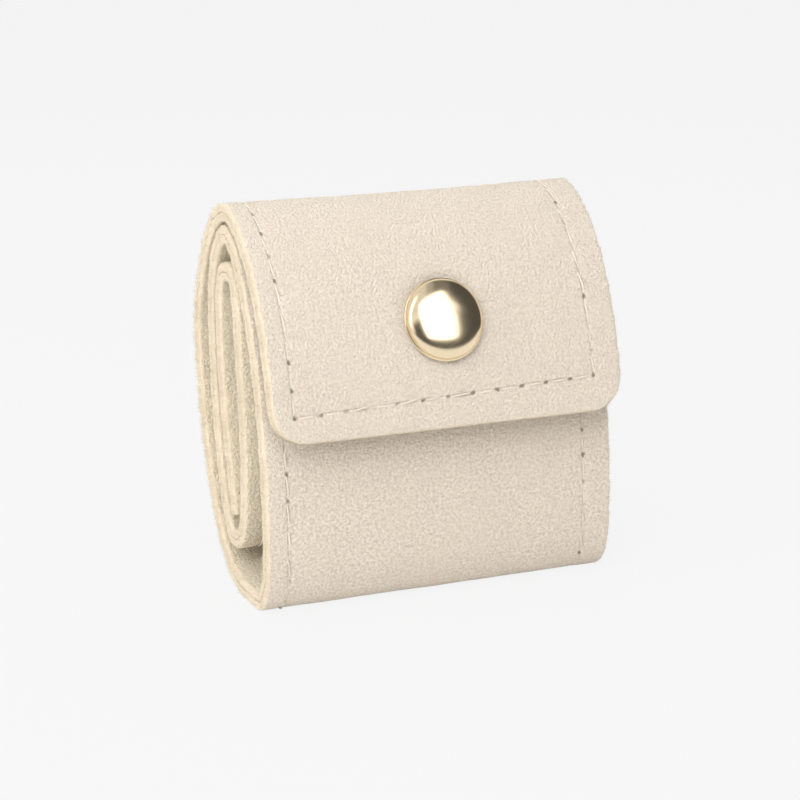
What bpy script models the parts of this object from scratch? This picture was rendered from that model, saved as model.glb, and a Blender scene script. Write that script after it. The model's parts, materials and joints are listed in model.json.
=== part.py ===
"""A small suede earring pouch, rolled shut.

One long strip of two suede plies is wound up from its inner end, two and a half turns in all.
Its outer end comes over the ridge of the roll as a flap, which a domed snap holds to the front.
The flap opens about the upper front of the roll. Lengths are in metres, X runs across the strip,
Y to the back and Z up, and the roll stands on the foot of its outer wrap.
"""

import math

import bmesh
import bpy
import numpy as np

# Strip
STRIP_WIDTH = 0.057
PLY = 0.0013
PLY_GAP = 0.0003
LAP_GAP = 0.0004
INNER_TURN_GAP = 0.0028
INNER_BACK_GAP = 0.0007

# Roll, seen from its end: the face of the strip that shows
ROLL_HEIGHT = 0.060
ROLL_DEPTH = 0.0327
FOOT_FLAT = 0.005
RIDGE_SHARE = 0.53
BULGE_SHARE = 0.645
FOOT_SHARE = 0.33
CORNER_RISE_SHARE = 0.155

# Inner turns: what the layers leave of the depth is air, and these share it out
LAYERS_DEEP = 5
BACK_AIR_SHARE = 0.215
FRONT_AIR_SHARE = 0.35
INNER_BULGE_SHARE = 0.703
INNER_FRONT_SHARE = 0.363
INNER_FOOT_SHARE = 0.485
INNER_FOOT_AIR = 0.0040
INNER_SHOULDER_DROP_SHARE = 0.0624
INNER_END_RISE = 0.0021
INNER_END_SETBACK = 0.00086
INNER_END_LEAN = math.radians(-12.4)

# Flap
FLAP_FALL = 0.0324
FLAP_END_LEAN = math.radians(9)
FLAP_CORNER_RADIUS = 0.0055
FLAP_HINGE_RUN = 0.0345
HINGE_GAP = 0.0003

# Snap: every round piece shares one axis, square to the flap
SNAP_RUN = 0.0162
CAP_RADIUS = 0.00635
CAP_DOME = 0.0021
CAP_RIM = 0.0003
SHEET = 0.0004
RIVET_RADIUS = 0.0013
RIVET_HOLE_PLAY = 0.0003
SOCKET_RADIUS = 0.0050
SOCKET_WALL = 0.0006
SOCKET_LIP = 0.0003
SOCKET_BARREL = 0.0016
STUD_FLANGE_RADIUS = 0.0045
STUD_HEAD_RADIUS = 0.0028
STUD_NECK_RADIUS = 0.0024
BACK_POST_FLANGE_RADIUS = 0.0045
BACK_POST_RADIUS = 0.0011
SPRING_WIRE = 0.0005
SPRING_PLAY = 0.0002
SPRING_OPENING = math.radians(24)
MOUTH_PLAY = 0.00035
GROOVE_PLAY = 0.0001
BITE = 0.0006
SEAT_GAP = 0.0003
SNAP_GAP = 0.0003

# Fineness of the faceting, how far a cut runs past what it cuts, what is welded or kept sharp, and
# how often the flap is moved until the snap fits
ARC_STEPS = 12
LONG_ARC_STEPS = 18
ROUND_STEPS = 40
CORNER_STEPS = 8
DOME_STEPS = 9
OVERRUN = 0.0004
WELD = 0.000003
SHARP_EDGE = math.radians(40)
SETTLING_STEPS = 10

# Shares at each curve's first and last point: of its reach, where it keeps its heading for so long,
# or of the roll's depth, where that is the height of a turn's bend
FLAP_SHARES = (0.27, 0.20)
UPPER_BACK_SHARES = (0.61, 0.50)
LOWER_BACK_SHARES = (0.90, 0.76)
FRONT_CORNER_SHARES = (0.645, 0.122)
PANEL_SHARES = (0.498, 0.288)
SECOND_UPPER_BACK_SHARES = (0.526, 0.2035)
SECOND_LOWER_BACK_SHARES = (0.621, 0.583)
SECOND_CORNER_SHARES = (0.754, 0.098)
SECOND_FRONT_SHARES = (0.084, 0.108)
SHOULDER_SHARES = (0.030, 0.129)
THIRD_UPPER_BACK_SHARES = (0.966, 0.165)
THIRD_LOWER_BACK_SHARES = (0.445, 0.225)
DOME_SHARES = (0.62, 0.75)
HEAD_SHARES = (0.60, 0.60)

# Headings in the section, as (back, up)
UP, BACK, DOWN, FORWARD = (0, 1), (1, 0), (0, -1), (-1, 0)

STRIP = 2 * PLY + PLY_GAP
SNAP_RISE = STRIP + 2 * (SHEET + SEAT_GAP - BITE) + SOCKET_BARREL + SNAP_GAP
PLY_DEPTHS = {"outer": PLY / 2, "lining": PLY + PLY_GAP + PLY / 2}


def heading(lean):
    """The heading that leans this far back from upright."""
    return math.sin(lean), math.cos(lean)


def arc(start, start_heading, end, end_heading, shares, steps):
    """Points of a smooth curve that leaves and arrives on the given headings."""
    start, start_heading, end, end_heading = map(
        np.array, (start, start_heading, end, end_heading)
    )
    chord = end - start
    first = start + start_heading * shares[0] * (chord @ start_heading)
    second = end - end_heading * shares[1] * (chord @ end_heading)
    t = np.linspace(0, 1, steps + 1)[:, None]
    near = (1 - t) ** 3 * start + 3 * (1 - t) ** 2 * t * first
    far = 3 * (1 - t) * t**2 * second + t**3 * end
    return near + far


def turn(start, start_heading, end, end_heading, shares, steps):
    """A quarter turn of the strip, whose bend stays as round when the roll is made taller.

    The level end keeps its heading for a share of the turn's reach. The steep end keeps its
    heading for all of the height but the bend's, which is a share of the roll's depth.
    """
    chord = np.subtract(end, start)
    kept = []
    for along, share in zip((start_heading, end_heading), shares):
        steep = abs(along[1]) > abs(along[0])
        kept.append(1 - share * ROLL_DEPTH / (chord @ along) if steep else share)
    return arc(start, start_heading, end, end_heading, kept, steps)


def behind(wrap, height):
    """Where the next wrap's face touches the inside of this one, at a height, and its heading."""
    headings = tangents(wrap)
    inside = wrap + np.array([inward(along) for along in headings]) * (STRIP + LAP_GAP)
    low_to_high = np.argsort(inside[:, 1])
    at_height = [
        np.interp(height, inside[low_to_high, 1], values[low_to_high])
        for values in (inside[:, 0], headings[:, 0], headings[:, 1])
    ]
    return (at_height[0], height), np.array(at_height[1:]) / math.hypot(*at_height[1:])


def depth_below(place, into, line):
    """How far the line lies from a place, in this direction."""
    across = np.array([into[1], -into[0]])
    offsets = (line - place) @ across
    depths = (line - place) @ into
    crossing = np.flatnonzero(offsets[:-1] * offsets[1:] <= 0)[0]
    share = offsets[crossing] / (offsets[crossing] - offsets[crossing + 1])
    return depths[crossing] + share * (depths[crossing + 1] - depths[crossing])


def flap_over(panel, ridge):
    """The flap, brought as far forward as the closed snap holds it off the panel."""
    forward = 0
    for _ in range(SETTLING_STEPS):
        edge = (-forward, ROLL_HEIGHT - FLAP_FALL)
        flap = turn(edge, heading(FLAP_END_LEAN), ridge, BACK, FLAP_SHARES, LONG_ARC_STEPS)
        place, along = at_run(flap, SNAP_RUN)
        into = inward(along / np.linalg.norm(along))
        forward += SNAP_RISE - depth_below(place, into, panel)
    return flap


def wound_strip():
    """The strip's outer face in section, from the flap's edge to the inner end of the roll."""
    spare = ROLL_DEPTH - LAYERS_DEEP * STRIP
    ridge = (RIDGE_SHARE * ROLL_DEPTH, ROLL_HEIGHT)
    bulge = (ROLL_DEPTH, BULGE_SHARE * ROLL_HEIGHT)
    foot_back = (FOOT_SHARE * ROLL_DEPTH, 0)
    foot_front = (foot_back[0] - FOOT_FLAT, 0)
    panel_low = (0, CORNER_RISE_SHARE * ROLL_HEIGHT)
    second_ridge = (ridge[0], ridge[1] - STRIP - LAP_GAP)
    second_bulge = (
        bulge[0] - STRIP - BACK_AIR_SHARE * spare,
        INNER_BULGE_SHARE * ROLL_HEIGHT,
    )
    second_foot = (INNER_FOOT_SHARE * ROLL_DEPTH, STRIP + INNER_FOOT_AIR)
    second_front = (STRIP + FRONT_AIR_SHARE * spare, INNER_FRONT_SHARE * ROLL_HEIGHT)
    third_ridge = (ridge[0], second_ridge[1] - STRIP - INNER_TURN_GAP)
    third_bulge = (second_bulge[0] - STRIP - INNER_BACK_GAP, second_bulge[1])
    inner_end = (
        second_foot[0] + INNER_END_SETBACK,
        second_foot[1] + STRIP + INNER_END_RISE,
    )
    panel = turn(panel_low, UP, second_ridge, BACK, PANEL_SHARES, LONG_ARC_STEPS)
    shoulder, shoulder_heading = behind(panel, third_ridge[1] - INNER_SHOULDER_DROP_SHARE * ROLL_DEPTH)
    runs = [
        flap_over(panel, ridge),
        turn(ridge, BACK, bulge, DOWN, UPPER_BACK_SHARES, ARC_STEPS),
        turn(bulge, DOWN, foot_back, FORWARD, LOWER_BACK_SHARES, ARC_STEPS),
        turn(foot_front, FORWARD, panel_low, UP, FRONT_CORNER_SHARES, ARC_STEPS),
        panel,
        turn(second_ridge, BACK, second_bulge, DOWN, SECOND_UPPER_BACK_SHARES, ARC_STEPS),
        turn(second_bulge, DOWN, second_foot, FORWARD, SECOND_LOWER_BACK_SHARES, ARC_STEPS),
        turn(second_foot, FORWARD, second_front, UP, SECOND_CORNER_SHARES, ARC_STEPS),
        arc(second_front, UP, shoulder, shoulder_heading, SECOND_FRONT_SHARES, ARC_STEPS),
        turn(shoulder, shoulder_heading, third_ridge, BACK, SHOULDER_SHARES, ARC_STEPS),
        turn(third_ridge, BACK, third_bulge, DOWN, THIRD_UPPER_BACK_SHARES, ARC_STEPS),
        arc(
            third_bulge,
            DOWN,
            inner_end,
            heading(math.pi - INNER_END_LEAN),
            THIRD_LOWER_BACK_SHARES,
            ARC_STEPS,
        ),
    ]
    line = [runs[0][0]]
    for run in runs:
        line.extend(point for point in run if math.dist(point, line[-1]) > 0)
    return np.array(line)


def tangents(line):
    along = np.gradient(line, axis=0)
    return along / np.linalg.norm(along, axis=1)[:, None]


def run_lengths(line):
    return np.concatenate([[0], np.cumsum(np.linalg.norm(np.diff(line, axis=0), axis=1))])


def at_run(line, run):
    """The point and the heading of the line at this run from its start."""
    runs = run_lengths(line)
    return tuple(
        np.array([np.interp(run, runs, column) for column in values.T])
        for values in (line, tangents(line))
    )


def stretch(line, start, end):
    """The part of the line between two runs, with its points kept."""
    runs = run_lengths(line)
    kept = line[(runs > start + LAP_GAP) & (runs < end - LAP_GAP)]
    return np.vstack([at_run(line, start)[0], kept, at_run(line, end)[0]])


def inward(along):
    """The direction into the roll, square to a heading."""
    return np.array([along[1], -along[0]])


def sunk(line, whole, depth):
    """The line moved into the roll by this depth, square to the whole strip's face."""
    runs = run_lengths(whole)
    headings = tangents(whole)
    moved = []
    for point in line:
        nearest = np.argmin(np.linalg.norm(whole - point, axis=1))
        low = max(nearest - 1, 0)
        high = min(nearest + 1, len(whole) - 1)
        window = whole[low : high + 1]
        chord = window[-1] - window[0]
        share = np.clip((point - window[0]) @ chord / (chord @ chord), 0, 1)
        run = runs[low] + share * (runs[high] - runs[low])
        along = np.array([np.interp(run, runs, column) for column in headings.T])
        moved.append(point + inward(along / np.linalg.norm(along)) * depth)
    return np.array(moved)


def collection(name):
    made = bpy.data.collections.new(name)
    bpy.context.scene.collection.children.link(made)
    return made


def material(name, colour, roughness, metallic):
    made = bpy.data.materials.new(name)
    made.use_nodes = True
    shader = made.node_tree.nodes["Principled BSDF"]
    shader.inputs["Base Color"].default_value = (*colour, 1)
    shader.inputs["Roughness"].default_value = roughness
    shader.inputs["Metallic"].default_value = metallic
    made.diffuse_color = (*colour, 1)
    return made


def empty(name, place, parent, parts):
    made = bpy.data.objects.new(name, None)
    parts.objects.link(made)
    made.parent = parent
    made.location = place
    return made


def meshed(curve_object, holder):
    """The curve's solid or surface as a mesh object in the same place, with its seams welded."""
    bpy.context.view_layer.update()
    graph = bpy.context.evaluated_depsgraph_get()
    mesh = bpy.data.meshes.new_from_object(curve_object.evaluated_get(graph))
    work = bmesh.new()
    work.from_mesh(mesh)
    bmesh.ops.remove_doubles(work, verts=work.verts, dist=WELD)
    work.to_mesh(mesh)
    work.free()
    name = curve_object.name
    place = curve_object.matrix_world.copy()
    bpy.data.objects.remove(curve_object)
    made = bpy.data.objects.new(name, mesh)
    made.matrix_world = place
    holder.objects.link(made)
    return made


def flat_curve(name, outlines, closed, half_thickness, holder):
    curve = bpy.data.curves.new(name, "CURVE")
    curve.dimensions = "2D"
    curve.fill_mode = "BOTH"
    curve.extrude = half_thickness
    for outline in outlines:
        spline = curve.splines.new("POLY")
        spline.points.add(len(outline) - 1)
        spline.use_cyclic_u = closed
        for point, (across, up) in zip(spline.points, outline):
            point.co = (across, up, 0, 1)
    made = bpy.data.objects.new(name, curve)
    holder.objects.link(made)
    return made


def ply(name, face_line, whole, depth, look, parts):
    """One suede ply: a ribbon that follows the wound strip at its own depth, with its thickness."""
    line = sunk(face_line, whole, depth)
    ribbon = flat_curve(name, [line], False, STRIP_WIDTH / 2, parts)
    ribbon.rotation_euler = (math.pi / 2, 0, math.pi / 2)
    made = meshed(ribbon, parts)
    thickness = made.modifiers.new("ply thickness", "SOLIDIFY")
    thickness.thickness = PLY
    thickness.offset = 0
    thickness.use_even_offset = True
    made.data.materials.append(look)
    made.data.shade_smooth()
    made.data.set_sharp_from_angle(angle=SHARP_EDGE)
    return made


def turned(name, profile, closed, place, tilt, look, parts):
    """A round piece on the snap's axis. The profile runs down its outer side."""
    count = len(profile)
    edges = [(i, i + 1) for i in range(count - 1)]
    if closed:
        edges.append((count - 1, 0))
    mesh = bpy.data.meshes.new(name)
    mesh.from_pydata([(radius, 0, height) for radius, height in profile], edges, [])
    made = bpy.data.objects.new(name, mesh)
    parts.objects.link(made)
    made.location = place
    made.rotation_euler = (tilt, 0, 0)
    screw = made.modifiers.new("turning", "SCREW")
    screw.steps = ROUND_STEPS
    screw.render_steps = ROUND_STEPS
    screw.use_merge_vertices = True
    screw.merge_threshold = WELD
    screw.use_smooth_shade = True
    if look:
        mesh.materials.append(look)
    return made


def cut(piece, cutter):
    boolean = piece.modifiers.new(cutter.name, "BOOLEAN")
    boolean.operation = "DIFFERENCE"
    boolean.solver = "EXACT"
    boolean.object = cutter


def hide_cutter(cutter):
    cutter.hide_render = True
    cutter.display_type = "WIRE"
    return cutter


def drill(name, radius, top, bottom, place, tilt, cutters):
    """A round cutter on the snap's axis, between two heights above the flap's face."""
    profile = [(0, top), (radius, top), (radius, bottom), (0, bottom)]
    return hide_cutter(turned(name, profile, False, place, tilt, None, cutters))


def flap_corner_cutter(edge_point, cutters):
    """What the rounding takes off the two free corners of the flap, both plies at once."""
    side = STRIP_WIDTH / 2
    radius = FLAP_CORNER_RADIUS
    turns = np.linspace(0, math.pi / 2, CORNER_STEPS + 1)
    rounding = [
        (side - radius + radius * math.cos(a), radius - radius * math.sin(a)) for a in turns
    ]
    waste = [
        (side - radius, -OVERRUN),
        (side + OVERRUN, -OVERRUN),
        (side + OVERRUN, radius),
    ]
    right = rounding + waste
    left = [(-across, along) for across, along in reversed(right)]
    along = np.array(heading(FLAP_END_LEAN))
    middle = edge_point + inward(along) * STRIP / 2
    made = flat_curve("flap_corner_cutter", [right, left], True, STRIP / 2 + OVERRUN, cutters)
    made.location = (0, *middle)
    made.rotation_euler = (math.pi / 2 - FLAP_END_LEAN, 0, 0)
    return hide_cutter(meshed(made, cutters))


def build_snap(line, parts, cutters, looks):
    """The snap's five pieces and the cuts that they need, as (on the flap, on the roll, cutters)."""
    place, along = at_run(line, SNAP_RUN)
    into = inward(along / np.linalg.norm(along))
    tilt = math.atan2(into[0], -into[1])
    panel = -SNAP_RISE
    centre = (0, *place)

    socket_back = -(STRIP - BITE + SEAT_GAP)
    socket_floor = socket_back - SHEET
    stud_back = panel - BITE + SEAT_GAP
    stud_top = stud_back + SHEET
    socket_mouth = stud_top + SNAP_GAP
    head_top = socket_floor - SNAP_GAP
    bore = RIVET_RADIUS + RIVET_HOLE_PLAY
    post_bore = BACK_POST_RADIUS + RIVET_HOLE_PLAY

    rim = SEAT_GAP
    apex = rim + CAP_DOME
    inside = CAP_RADIUS - 2 * SHEET
    dome = arc((0, apex), BACK, (CAP_RADIUS, rim + CAP_RIM), DOWN, DOME_SHARES, DOME_STEPS)
    hollow = arc(
        (inside, rim), UP, (RIVET_RADIUS, apex - 2 * SHEET), FORWARD, DOME_SHARES[::-1], DOME_STEPS
    )
    cap_profile = [
        *dome,
        (CAP_RADIUS - CAP_RIM, rim),
        *hollow,
        (RIVET_RADIUS, socket_floor),
        (0, socket_floor),
    ]
    cap = turned("snap_cap", cap_profile, False, centre, tilt, looks["gilt"], parts)

    mouth = STUD_HEAD_RADIUS + MOUTH_PLAY
    wire_circle = STUD_HEAD_RADIUS + SPRING_PLAY + SPRING_WIRE / 2
    groove = wire_circle + SPRING_WIRE / 2 + GROOVE_PLAY
    groove_low = socket_mouth + SOCKET_LIP
    groove_high = groove_low + SPRING_WIRE + 2 * GROOVE_PLAY
    barrel = groove + SOCKET_WALL
    socket_profile = [
        (bore, socket_back),
        (SOCKET_RADIUS - SHEET / 2, socket_back),
        (SOCKET_RADIUS, socket_back - SHEET / 2),
        (SOCKET_RADIUS - SHEET / 2, socket_floor),
        (barrel, socket_floor),
        (barrel, socket_mouth + SOCKET_LIP),
        (barrel - SOCKET_LIP, socket_mouth),
        (mouth, socket_mouth),
        (mouth, groove_low),
        (groove, groove_low),
        (groove, groove_high),
        (mouth, groove_high),
        (mouth, socket_floor),
        (bore, socket_floor),
    ]
    socket = turned("snap_socket", socket_profile, True, centre, tilt, looks["gilt"], parts)

    spring_height = (groove_low + groove_high) / 2
    spring = wire_ring(
        "snap_ring_spring", wire_circle, spring_height, centre, tilt, looks["steel"], parts
    )

    head_low = (stud_top + head_top) / 2
    shoulder = arc(
        (STUD_HEAD_RADIUS, head_low + SHEET),
        UP,
        (post_bore + SHEET, head_top),
        FORWARD,
        HEAD_SHARES,
        DOME_STEPS // 2,
    )
    stud_profile = [
        (post_bore, head_top - SHEET),
        *reversed(shoulder),
        (STUD_HEAD_RADIUS, head_low),
        (STUD_NECK_RADIUS, stud_top + SHEET / 2),
        (STUD_NECK_RADIUS + SHEET / 2, stud_top),
        (STUD_FLANGE_RADIUS, stud_top),
        (STUD_FLANGE_RADIUS, stud_back),
        (post_bore, stud_back),
    ]
    stud = turned("snap_stud", stud_profile, True, centre, tilt, looks["gilt"], parts)

    panel_back = panel - STRIP
    post_seat = panel_back + BITE - SEAT_GAP
    post_profile = [
        (0, head_top - SHEET),
        (BACK_POST_RADIUS, head_top - SHEET),
        (BACK_POST_RADIUS, post_seat),
        (BACK_POST_FLANGE_RADIUS, post_seat),
        (BACK_POST_FLANGE_RADIUS, post_seat - SHEET / 2),
        (BACK_POST_FLANGE_RADIUS - SHEET / 2, post_seat - SHEET),
        (0, post_seat - SHEET),
    ]
    post = turned("snap_back_post", post_profile, False, centre, tilt, looks["gilt"], parts)

    cuts = {
        "outer_suede_flap": [
            drill("cap_rivet_cutter", bore, OVERRUN, -STRIP / 2, centre, tilt, cutters)
        ],
        "lining_suede_flap": [
            drill("lining_rivet_cutter", bore, -STRIP / 2, -STRIP - BITE, centre, tilt, cutters),
            drill(
                "socket_seat_cutter",
                SOCKET_RADIUS + SEAT_GAP,
                BITE - STRIP,
                -STRIP - BITE,
                centre,
                tilt,
                cutters,
            ),
        ],
        "outer_suede_roll": [
            drill(
                "stud_seat_cutter",
                STUD_FLANGE_RADIUS + SEAT_GAP,
                panel + BITE,
                panel - BITE,
                centre,
                tilt,
                cutters,
            ),
            drill(
                "panel_hole_cutter", post_bore, panel, panel - STRIP / 2, centre, tilt, cutters
            ),
        ],
        "lining_suede_roll": [
            drill(
                "lining_hole_cutter", post_bore, panel - STRIP / 2, panel_back, centre, tilt, cutters
            ),
            drill(
                "post_seat_cutter",
                BACK_POST_FLANGE_RADIUS + SEAT_GAP,
                panel_back + BITE,
                panel_back - BITE,
                centre,
                tilt,
                cutters,
            ),
        ],
    }
    return [cap, socket, spring], [stud, post], cuts


def wire_ring(name, radius, height, place, tilt, look, parts):
    """The open wire ring that lies in the socket's groove."""
    curve = bpy.data.curves.new(name, "CURVE")
    curve.dimensions = "3D"
    curve.bevel_depth = SPRING_WIRE / 2
    curve.bevel_resolution = 1
    curve.use_fill_caps = True
    turns = np.linspace(SPRING_OPENING / 2, 2 * math.pi - SPRING_OPENING / 2, ROUND_STEPS + 1)
    spline = curve.splines.new("POLY")
    spline.points.add(len(turns) - 1)
    for point, turn in zip(spline.points, turns):
        point.co = (radius * math.cos(turn), radius * math.sin(turn), height, 1)
    made = bpy.data.objects.new(name, curve)
    parts.objects.link(made)
    made.location = place
    made.rotation_euler = (tilt, 0, 0)
    made = meshed(made, parts)
    made.data.materials.append(look)
    made.data.shade_smooth()
    made.data.set_sharp_from_angle(angle=SHARP_EDGE)
    return made


def hang_on(piece, parent, parent_place):
    """Makes the piece a child of an empty and leaves it where it is."""
    piece.parent = parent
    piece.location = [here - there for here, there in zip(piece.location, parent_place)]


def centre_over_origin(root, pieces):
    """Puts the middle of the whole pouch's depth over the origin."""
    bpy.context.view_layer.update()
    graph = bpy.context.evaluated_depsgraph_get()
    depths = []
    for piece in pieces:
        evaluated = piece.evaluated_get(graph)
        place = evaluated.matrix_world
        depths.extend((place @ vertex.co).y for vertex in evaluated.data.vertices)
    root.location.y = -(min(depths) + max(depths)) / 2


def main():
    for obj in list(bpy.data.objects):
        bpy.data.objects.remove(obj)

    parts = collection("earring_pouch")
    cutters = collection("cutters")
    looks = {
        "suede": material("cream suede", (0.82, 0.71, 0.59), 0.95, 0),
        "suede lining": material("cream suede lining", (0.80, 0.69, 0.56), 0.95, 0),
        "gilt": material("pale gold plated brass", (0.90, 0.78, 0.52), 0.15, 1),
        "steel": material("spring steel", (0.70, 0.70, 0.68), 0.30, 1),
    }

    line = wound_strip()
    whole = run_lengths(line)[-1]
    hinge_point, _ = at_run(line, FLAP_HINGE_RUN)
    flap_line = stretch(line, 0, FLAP_HINGE_RUN - HINGE_GAP / 2)
    roll_line = stretch(line, FLAP_HINGE_RUN + HINGE_GAP / 2, whole)

    on_flap, on_roll, cuts = build_snap(line, parts, cutters, looks)
    corner_cutter = flap_corner_cutter(line[0], cutters)
    for side, depth in PLY_DEPTHS.items():
        look = looks["suede" if side == "outer" else "suede lining"]
        flap = ply(f"{side}_suede_flap", flap_line, line, depth, look, parts)
        cut(flap, corner_cutter)
        on_flap.append(flap)
        on_roll.append(ply(f"{side}_suede_roll", roll_line, line, depth, look, parts))
    for piece in on_flap + on_roll:
        for cutter in cuts.get(piece.name, []):
            cut(piece, cutter)

    root = empty("pouch", (0, 0, 0), None, parts)
    hinge_place = (0, *hinge_point)
    hinge = empty("flap_hinge", hinge_place, root, parts)
    for piece in on_flap:
        hang_on(piece, hinge, hinge_place)
    for piece in on_roll + list(cutters.objects):
        hang_on(piece, root, (0, 0, 0))
    centre_over_origin(root, on_flap + on_roll)


main()
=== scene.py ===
"""Looks of a small rolled suede pouch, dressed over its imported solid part.

Lengths are in metres unless a name ends in _mm. The strip that the pouch is wound from is
followed by its run, the distance along its outer face from the flap's free edge. A point of it
is given by its distance across from the middle, its run and its depth under the outer face.
"""

import json
import math

import bmesh
import bpy
import numpy as np
from mathutils import Matrix, Vector

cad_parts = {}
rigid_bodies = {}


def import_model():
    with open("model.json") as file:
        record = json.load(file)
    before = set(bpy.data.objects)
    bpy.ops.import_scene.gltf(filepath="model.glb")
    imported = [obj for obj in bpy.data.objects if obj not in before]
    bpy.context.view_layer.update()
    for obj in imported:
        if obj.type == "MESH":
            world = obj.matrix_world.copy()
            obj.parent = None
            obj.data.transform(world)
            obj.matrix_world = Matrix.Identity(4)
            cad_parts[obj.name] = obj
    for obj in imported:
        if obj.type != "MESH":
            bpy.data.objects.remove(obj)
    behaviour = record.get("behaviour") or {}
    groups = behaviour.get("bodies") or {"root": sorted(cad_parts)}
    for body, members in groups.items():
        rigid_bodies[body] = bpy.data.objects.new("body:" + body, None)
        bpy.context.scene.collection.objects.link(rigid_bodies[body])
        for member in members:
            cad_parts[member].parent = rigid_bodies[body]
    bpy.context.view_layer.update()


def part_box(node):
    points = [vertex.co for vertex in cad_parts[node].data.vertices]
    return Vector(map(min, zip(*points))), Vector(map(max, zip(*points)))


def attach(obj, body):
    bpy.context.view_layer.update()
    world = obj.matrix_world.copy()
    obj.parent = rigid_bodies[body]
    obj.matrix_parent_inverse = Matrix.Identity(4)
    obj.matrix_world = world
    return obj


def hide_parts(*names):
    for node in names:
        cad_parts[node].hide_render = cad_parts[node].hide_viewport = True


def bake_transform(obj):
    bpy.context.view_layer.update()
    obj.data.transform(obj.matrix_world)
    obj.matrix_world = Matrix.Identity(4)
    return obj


bl_info = {
    "name": "Earring Pouch",
    "version": (1, 0, 0),
    "blender": (4, 5, 0),
    "location": "View3D > Sidebar > Earring Pouch",
    "description": "Dresses a rolled suede pouch with its nap, seams, snap and studio",
    "category": "Object",
}

for leftover in list(bpy.data.objects):
    bpy.data.objects.remove(leftover)
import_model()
MM = 0.001

# The strip, as in the part's source
STRIP_WIDTH = 0.057
PLY = 0.0013
PLY_GAP = 0.0003
STRIP = 2 * PLY + PLY_GAP
LAP_GAP = 0.0004
INNER_TURN_GAP = 0.0028
INNER_BACK_GAP = 0.0007
ROLL_HEIGHT = 0.060
ROLL_DEPTH = 0.0327
FOOT_FLAT = 0.005
RIDGE_SHARE = 0.53
BULGE_SHARE = 0.645
FOOT_SHARE = 0.33
CORNER_RISE_SHARE = 0.155
LAYERS_DEEP = 5
BACK_AIR_SHARE = 0.215
FRONT_AIR_SHARE = 0.35
INNER_BULGE_SHARE = 0.703
INNER_FRONT_SHARE = 0.363
INNER_FOOT_SHARE = 0.485
INNER_FOOT_AIR = 0.0040
INNER_SHOULDER_DROP_SHARE = 0.0624
INNER_END_RISE = 0.0021
INNER_END_SETBACK = 0.00086
INNER_END_LEAN = math.radians(-12.4)
FLAP_FALL = 0.0324
FLAP_END_LEAN = math.radians(9)
FLAP_CORNER_RADIUS = 0.0055
FLAP_SHARES = (0.27, 0.20)
UPPER_BACK_SHARES = (0.61, 0.50)
LOWER_BACK_SHARES = (0.90, 0.76)
FRONT_CORNER_SHARES = (0.645, 0.122)
PANEL_SHARES = (0.498, 0.288)
SECOND_UPPER_BACK_SHARES = (0.526, 0.2035)
SECOND_LOWER_BACK_SHARES = (0.621, 0.583)
SECOND_CORNER_SHARES = (0.754, 0.098)
SECOND_FRONT_SHARES = (0.084, 0.108)
SHOULDER_SHARES = (0.030, 0.129)
THIRD_UPPER_BACK_SHARES = (0.966, 0.165)
THIRD_LOWER_BACK_SHARES = (0.445, 0.225)
ARC_STEPS = 48
SETTLING_STEPS = 10
UP, BACK, DOWN, FORWARD = (0, 1), (1, 0), (0, -1), (-1, 0)

# The snap, as in the part's source
SNAP_RUN = 0.0162
CAP_RADIUS = 0.00635
SHEET = 0.0004
BITE = 0.0006
SEAT_GAP = 0.0003
SNAP_GAP = 0.0003
RIVET_RADIUS = 0.0013
RIVET_HOLE_PLAY = 0.0003
SOCKET_RADIUS = 0.0050
SOCKET_WALL = 0.0006
SOCKET_LIP = 0.0003
SOCKET_BARREL = 0.0016
STUD_FLANGE_RADIUS = 0.0045
STUD_HEAD_RADIUS = 0.0028
STUD_NECK_RADIUS = 0.0024
BACK_POST_FLANGE_RADIUS = 0.0045
BACK_POST_RADIUS = 0.0011
SPRING_WIRE = 0.0005
SPRING_PLAY = 0.0002
SPRING_OPENING = math.radians(24)
MOUTH_PLAY = 0.00035
GROOVE_PLAY = 0.0001
SNAP_RISE = STRIP + 2 * (SHEET + SEAT_GAP - BITE) + SOCKET_BARREL + SNAP_GAP

# The flap's own pieces run on over the ridge to this run, where they meet the roll's.
SPLIT_RUN = 0.0530

# The dressed plies: their rounded edges, their grid of rows and the small dents in them
EDGE_ROUND = 0.00040
INNER_ROUND_SHARE = 0.1
ROUND_STEPS = 3
EDGE_BULGE = 0.00005
SEAM_LINE = 0.00002
ROWS_LEAD = 0.0196
FINE_UNTIL = 0.190
LINING_PULL_SHARE = 0.4
LINING_WAVE_PHASE = 5.0
RIGHT_EDGE_PHASE = 11.0
FURROW_WIDTH = 0.55 * MM
FURROW_PAST_CORNER = 0.3 * MM
HOLE_ACROSS = 0.35 * MM
HOLE_ALONG = 0.4 * MM
HOLE_DEPTH_SHARE = 0.6
NAP_WAVE = 0.028 * MM
EDGE_WAVE = 0.035 * MM
EDGE_WAVE_FROM_SEAM = 1.0 * MM
EDGE_WAVE_GROWS_OVER = 2.2 * MM
CAP_DENT = 0.30 * MM
DENT_PAST_CAP = 1.6 * MM
DENT_SLOPE = 1.9 * MM
RIDGE_SAG = 0.28 * MM
SAG_FROM_HEIGHT = 0.050

# The dressed snap's cap and the steps round each turned piece
CAP_RIM_DEPTH = 0.00018
CAP_LIP = 0.00020
SNAP_STEPS = 96

# The camera, solved on eight corners of the outline in the photograph's square frame
FRAME_PX = 800.0
FOCUS_PX = 2370.0
PX_PER_METRE = 6640.0
SENSOR_MM = 36.0
CAMERA_SIDE = -5.789 * MM
CAMERA_RISE = -0.586 * MM
LOOKED_AT_DEPTH = 2.5 * MM
LOOKED_AT_HEIGHT = 31.0 * MM
FLOOR_REACH = 3.0


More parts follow.
